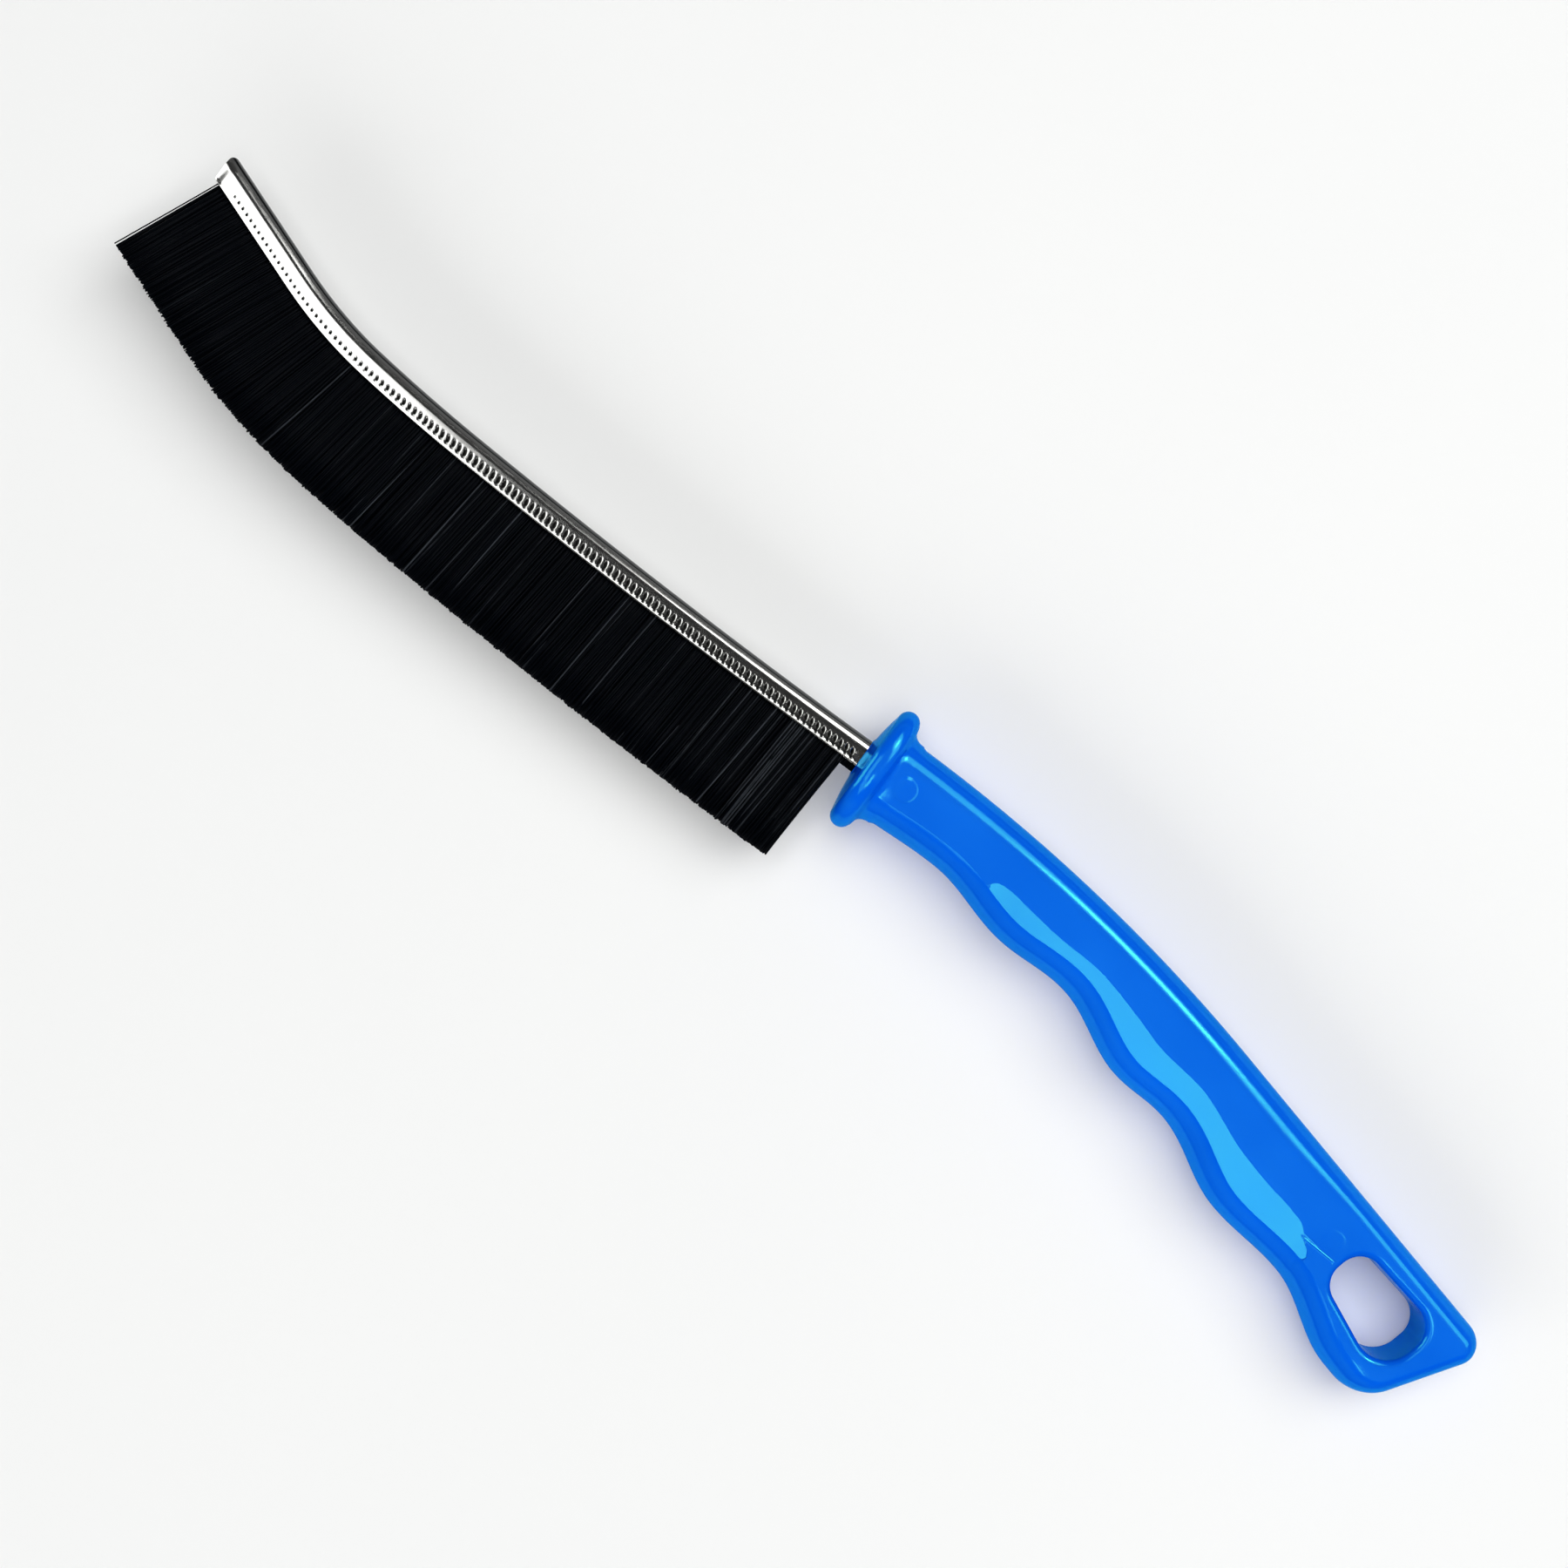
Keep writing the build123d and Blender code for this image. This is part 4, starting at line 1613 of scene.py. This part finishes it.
@dataclass
class Filaments:
    """Black nylon filaments that stand in the channel, made strand by strand."""

    run: StripRun = field(default_factory=StripRun)
    root: float = -0.6
    column_pitch: float = 0.30
    rows: int = 11
    row_pitch: float = 0.30
    radius: float = 0.145
    lean: float = 3.0
    bow: float = 0.35
    full: Stand = Stand(20.1, 19.1, 0.9, 0.32, 7)
    cut_short: Stand = Stand(1.05, 1.05, 0.4, 0.12, 40)
    full_from: float = 2.3
    short_from: float = -2.5
    end_gap: float = 1.0
    parts: int = 3

    def build(self, finish: Material) -> list[tuple[Piece, tuple]]:
        """Makes the filaments in some pieces, and the ones cut short behind the guard.

        Args:
            finish: material of the strands.

        Returns:
            Each piece with the nodes that it stands for.
        """
        limits = np.linspace(self.full_from, self.run.lip_end() - self.end_gap, self.parts + 1)
        made = []
        for number, (start, end) in enumerate(zip(limits, limits[1:]), 1):
            line = self.roots(f"roots_{number}", start, end)
            piece = self.tree(finish, self.full, self.full.seed + number).run(line, f"filaments_{number}")
            made.append((piece, (f"bristle_bank_{2 * number - 1}", f"bristle_bank_{2 * number}")))
        line = self.roots("roots_stub", self.short_from, self.full_from)
        stub = self.tree(finish, self.cut_short, self.cut_short.seed).run(line, "trimmed_stubs")
        return [*made, (stub, ("trimmed_filaments",))]

    def tree(self, finish: Material, stand: Stand, seed: int) -> GeometryTree:
        """Tree that stands strands in rows on a line of roots.

        Args:
            finish: material of the strands.
            stand: how they stand.
            seed: fixed seed.

        Returns:
            The tree.
        """
        below_lip = self.run.half_height - self.root
        tree = GeometryTree("standing_filaments", {
            "Rows": self.rows, "Row Pitch": self.row_pitch * MM, "Column Pitch": self.column_pitch * MM,
            "Strand Radius": self.radius * MM, "Trim": (stand.trim + below_lip) * MM,
            "Tip Trim": (stand.tip_trim + below_lip) * MM, "Lean": self.lean,
            "Lean Spread": stand.spread, "Uneven": stand.uneven * MM, "Seed": seed,
        })
        g, value = tree.graph, tree.value
        seeds = [g.plus(value("Seed"), float(n)) for n in range(8)]
        tangent, run = g.stored("tangent", "FLOAT_VECTOR"), g.stored("run")

        # rows of roots, each moved a little
        rows = {"Geometry": tree.start.outputs[0], "Amount": value("Rows")}
        copies = g.node("GeometryNodeDuplicateElements", rows, domain="POINT")
        row = g.minus(copies.outputs["Duplicate Index"], g.times(g.minus(value("Rows"), 1.0), 0.5))
        up = g.times(g.plus(row, g.scatter(-0.35, 0.35, seeds[0])), value("Row Pitch"))
        slide = g.times(g.scatter(-0.75, 0.75, seeds[1]), value("Column Pitch"))
        offset = g.vector("ADD", g.scaled(tangent, slide), g.upright(up))
        roots = g.node("GeometryNodeSetPosition", {"Geometry": copies.outputs[0], "Offset": offset})

        # lean, in clumps
        clump = g.noise(1.0, 2.0, 0.5, W=g.plus(g.times(run, 0.8), g.times(row, 0.23)))
        drift = g.times(g.minus(clump, 0.5), 2.6)
        stray = g.times(g.plus(drift, g.scatter(-0.55, 0.55, seeds[2])), value("Lean Spread"))
        leaning = g.math("TANGENT", g.math("RADIANS", g.plus(value("Lean"), stray)))
        fan = g.plus(g.times(row, 0.0045), g.scatter(-0.012, 0.012, seeds[3]))
        bristle_side = g.vector("CROSS_PRODUCT", (0.0, 0.0, 1.0), tangent)
        aim = g.vector("ADD", g.vector("ADD", bristle_side, g.scaled(tangent, leaning)), g.upright(fan))
        turned = g.node("FunctionNodeAlignRotationToVector", {"Vector": aim}, axis="Z")

        # length, trimmed shorter towards the tip and a little ragged
        trims = {"Value": g.stored("share"), "To Min": value("Trim"), "To Max": value("Tip Trim")}
        reach = g.node("ShaderNodeMapRange", trims).outputs[0]
        edge = g.noise(1.0, 3.0, 0.5, W=g.times(run, 1.3))
        ragged = g.plus(g.times(g.minus(edge, 0.5), 2.2), g.scatter(-0.7, 0.35, seeds[4]))
        length = g.plus(reach, g.times(ragged, value("Uneven")))

        # one strand, with the share of its length stored for the bow
        sides = {"Vertices": 4, "Side Segments": 3, "Radius": value("Strand Radius"), "Depth": 1.0}
        strand = g.node("GeometryNodeMeshCylinder", sides)
        raise_up = {"Geometry": strand.outputs[0], "Translation": (0.0, 0.0, 0.5)}
        raised = g.node("GeometryNodeTransform", raise_up)
        position = g.node("GeometryNodeInputPosition").outputs[0]
        height = g.node("ShaderNodeSeparateXYZ", {0: position}).outputs["Z"]
        marked = g.store(raised.outputs[0], "along", height)
        # a few strands get a pale tone, which is a painted highlight
        with_painted_highlight = g.store(roots.outputs[0], "tone", self._painted_highlight(g, run, seeds[5], seeds[7]))
        bent = g.store(with_painted_highlight, "bow", g.scatter(-self.bow * MM, self.bow * MM, seeds[6]))

        placing = {"Points": bent, "Instance": marked, "Rotation": turned.outputs[0], "Scale": g.upright(length, 1.0)}
        placed = g.node("GeometryNodeInstanceOnPoints", placing)
        real = g.node("GeometryNodeRealizeInstances", {"Geometry": placed.outputs[0]})
        part = g.stored("along")
        arch = g.scaled(tangent, g.times(part, part, g.stored("bow")))
        bowed = g.node("GeometryNodeSetPosition", {"Geometry": real.outputs[0], "Offset": arch})
        smooth = g.node("GeometryNodeSetShadeSmooth", {"Geometry": bowed.outputs[0]})
        tree.close(smooth.outputs[0], finish)
        return tree

    def _painted_highlight(self, g: Graph, run: Socket, choice: Socket, shade: Socket) -> Socket:
        """Painted highlight of a strand: a few strands painted paler, more of them near the guard.

        Args:
            g: graph of the tree.
            run: distance from the guard.
            choice: seed that picks the paler ones.
            shade: seed of their shade.

        Returns:
            The tone.
        """
        share = g.rise(run, 100.0, 10.0, 0.015, 0.10)
        chosen = g.math("LESS_THAN", g.scatter(0.0, 1.0, choice), share)
        return g.times(chosen, g.scatter(0.82, 1.0, shade))

    def roots(self, name: str, start: float, end: float) -> Piece:
        """Line of root points, with the strip's direction at each.

        Args:
            name: name of the line.
            start: distance from the guard at which it starts.
            end: distance at which it ends.

        Returns:
            The line.
        """
        distance = np.arange(start + self.column_pitch / 2, end, self.column_pitch)
        flat = np.zeros_like(distance)
        points = MAKING.to_row(self.run.solid(distance, np.full_like(distance, self.root), flat))
        _, heading = self.run.places(distance)
        tangent = np.stack((np.cos(heading), -np.sin(heading), flat), axis=1).astype(np.float32)
        mesh = bpy.data.meshes.new(name)
        mesh.from_pydata(points.tolist(), [], [])
        mesh.attributes.new("tangent", "FLOAT_VECTOR", "POINT").data.foreach_set("vector", tangent.ravel())
        store_values(mesh, "run", distance)
        store_values(mesh, "share", np.clip(distance / self.run.lip_end(), 0, 1))
        return add_object(name, mesh)


# ---- scene --------------------------------------------------------------------


@dataclass(frozen=True)
class Lamp:
    """Soft area lamp: where it hangs, its size, how bright its face is and what it looks at.

    A lamp is either mirrored by the brush or lights it evenly, so that highlights and shade are set apart.
    """

    name: str
    at: tuple
    size: tuple
    level: float
    aim: tuple = (-0.03, 0.0, 0.0)
    mirrored: bool = True

    def build(self) -> None:
        """Makes the lamp."""
        data = bpy.data.lights.new(self.name, "AREA")
        data.shape = "RECTANGLE"
        data.size, data.size_y = self.size
        data.energy = self.level * 4 * self.size[0] * self.size[1]
        lamp = add_object(self.name, data)
        lamp.location = self.at
        lamp.rotation_mode = "QUATERNION"
        lamp.rotation_quaternion = (Vector(self.aim) - Vector(self.at)).to_track_quat("-Z", "Y")
        lamp.visible_camera = False
        lamp.visible_glossy = self.mirrored
        lamp.visible_diffuse = not self.mirrored


@dataclass
class Studio:
    """Pale table, soft lamps, dim surroundings and the camera over the table."""

    floor_half: float = 3.0
    guard_rests_at: float = -2.9
    tail_rests_at: float = -131.0
    camera_at: tuple = (0.002663, 0.002345, 0.40825)
    camera_turn: float = 215.9
    lens: float = 57.1
    sky: tuple = ((0.0, 0.42), (0.12, 0.20), (0.40, 0.06), (0.90, 0.02))
    cards: tuple = (("back_card", -0.050, -0.60), ("front_card", 0.062, 0.60))
    card_tone: tuple = (0.01, 0.01, 0.012, 1)
    lamps: tuple = (
        Lamp("key_softbox", (-0.60, -1.08, 1.03), (1.5, 0.80), 3.2),
        Lamp("key_centre", (-0.495, -1.11, 1.02), (0.34, 0.36), 13.0),
        Lamp("land_panel", (-0.27, 0.36, 1.20), (0.36, 0.46), 4.6, aim=(-0.27, 0.36, 0.0)),
        Lamp("side_softbox", (-1.12, -0.25, 1.00), (1.1, 1.3), 0.30),
        Lamp("rim_strip", (1.10, 0.10, 0.42), (0.8, 0.60), 3.6),
        Lamp("tip_panel", (0.60, -0.02, 1.15), (0.60, 0.8), 1.9, aim=(0.60, -0.02, 0.0)),
        Lamp("lip_panel", (0.20, 0.50, 1.05), (0.7, 0.40), 1.6),
        Lamp("fill_top", (-0.10, -0.20, 1.20), (1.3, 1.1), 2.06, mirrored=False),
        Lamp("fill_key", (-0.60, -0.85, 1.00), (1.0, 0.6), 3.0, mirrored=False),
        Lamp("fill_front", (0.10, 1.25, 0.55), (2.0, 0.6), 2.4, mirrored=False),
    )

    def build(self, effects: SharedEffects) -> None:
        """Makes the table, the lamps, the surroundings and the camera.

        Args:
            effects: the shared groups.
        """
        half = self.floor_half
        self._sheet("table_top", (-half, -half), (half, half), 0.0, PaleTable().material(effects))
        self._cards()
        for lamp in self.lamps:
            lamp.build()
        self._world()
        self._camera()

    def floor_level(self, x: float) -> float:
        """Finds the height of the table top, on which the guard and the tail rest.

        Args:
            x: place along the brush.

        Returns:
            The height.
        """
        rests = (self.guard_rests_at, self.tail_rests_at)
        guard, tail = (MAKING.to_row(np.array((place, 0.0, 0.0)))[0] for place in rests)
        under_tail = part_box("handle")[1].z / 2 - Handle.thickness / 2 * MM
        return float((guard - x) * under_tail / (guard - tail))

    def _sheet(self, name: str, near: tuple, far: tuple, lift: float, material: Material) -> Piece:
        """Makes a flat sheet on the table's slope.

        Args:
            name: name of the sheet.
            near: one corner.
            far: the corner across from it.
            lift: height over the table top.
            material: its finish.

        Returns:
            The sheet, staged.
        """
        places = ((near[0], near[1]), (far[0], near[1]), (far[0], far[1]), (near[0], far[1]))
        mesh = bpy.data.meshes.new(name)
        mesh.from_pydata([(x, y, self.floor_level(x) + lift) for x, y in places], [], [(0, 1, 2, 3)])
        mesh.materials.append(material)
        sheet = add_object(name, mesh)
        return sheet

    def _cards(self) -> None:
        """Dark cards that edge the steel and the plastic, seen only in their reflections."""
        material = bpy.data.materials.new("dark_card")
        material.use_nodes = True
        shader = material.node_tree.nodes["Principled BSDF"]
        shader.inputs["Base Color"].default_value = self.card_tone
        shader.inputs["Roughness"].default_value = 0.9
        for name, near, far in self.cards:
            card = self._sheet(name, (-0.5, near), (0.7, far), 0.0005, material)
            card.visible_camera = False
            card.visible_shadow = False
            card.visible_diffuse = False

    def _world(self) -> None:
        """Dim surroundings, paler towards the horizon."""
        world = bpy.data.worlds.new("surroundings")
        world.use_nodes = True
        graph = Graph(world.node_tree)
        direction = graph.node("ShaderNodeTexCoord").outputs["Generated"]
        height = graph.node("ShaderNodeSeparateXYZ", {0: direction}).outputs["Z"]
        ramp = graph.node("ShaderNodeValToRGB", {"Fac": height})
        elements = ramp.color_ramp.elements
        while len(elements) < len(self.sky):
            elements.new(0.5)
        for element, (place, level) in zip(elements, self.sky):
            element.position = place
            element.color = (level, level * 1.01, level * 1.02, 1)
        background = {"Color": ramp.outputs["Color"], "Strength": 1.0}
        graph.fill(world.node_tree.nodes["Background"], background)
        bpy.context.scene.world = world

    def _camera(self) -> None:
        """Camera straight over the table."""
        data = bpy.data.cameras.new("camera")
        data.lens = self.lens
        data.sensor_width = 36.0
        data.clip_start, data.clip_end = 0.01, 20.0
        camera = add_object("camera", data)
        camera.location = self.camera_at
        camera.rotation_euler = (0.0, 0.0, math.radians(self.camera_turn))
        bpy.context.scene.camera = camera


def settle(piece: Piece, slot: Slot, *nodes: str) -> None:
    """Rides a finished piece on the brush, in the place of its CAD nodes.

    Args:
        piece: the piece.
        slot: its material slot; not used.
        nodes: the CAD nodes that it stands for.
    """
    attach(piece, BODY)
    if nodes:
        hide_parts(*nodes)
    log.info("%s: %d faces", piece.name, len(piece.data.polygons))


def main() -> None:
    """Builds the brush, its studio and its camera."""
    logging.basicConfig(level=logging.INFO, format="%(message)s")
    bpy.context.scene.view_settings.view_transform = "Standard"
    effects = SharedEffects()
    Studio().build(effects)

    handle = Handle().build(MouldedPolypropylene().material(effects))
    settle(handle, Slot.PLASTIC, "handle")

    channel = Channel().build(RolledSteel().material(effects))
    settle(channel, Slot.STEEL, "channel")

    wire = frame["nodes"]["core_wire"]
    wire.data.materials.clear()
    wire.data.materials.append(DrawnWire().material(effects))
    log.info("core_wire: %d faces", len(wire.data.polygons))

    for piece, nodes in Filaments().build(NylonFilament().material(effects)):
        settle(piece, Slot.FILAMENT, *nodes)


if __name__ == "__main__":
    main()
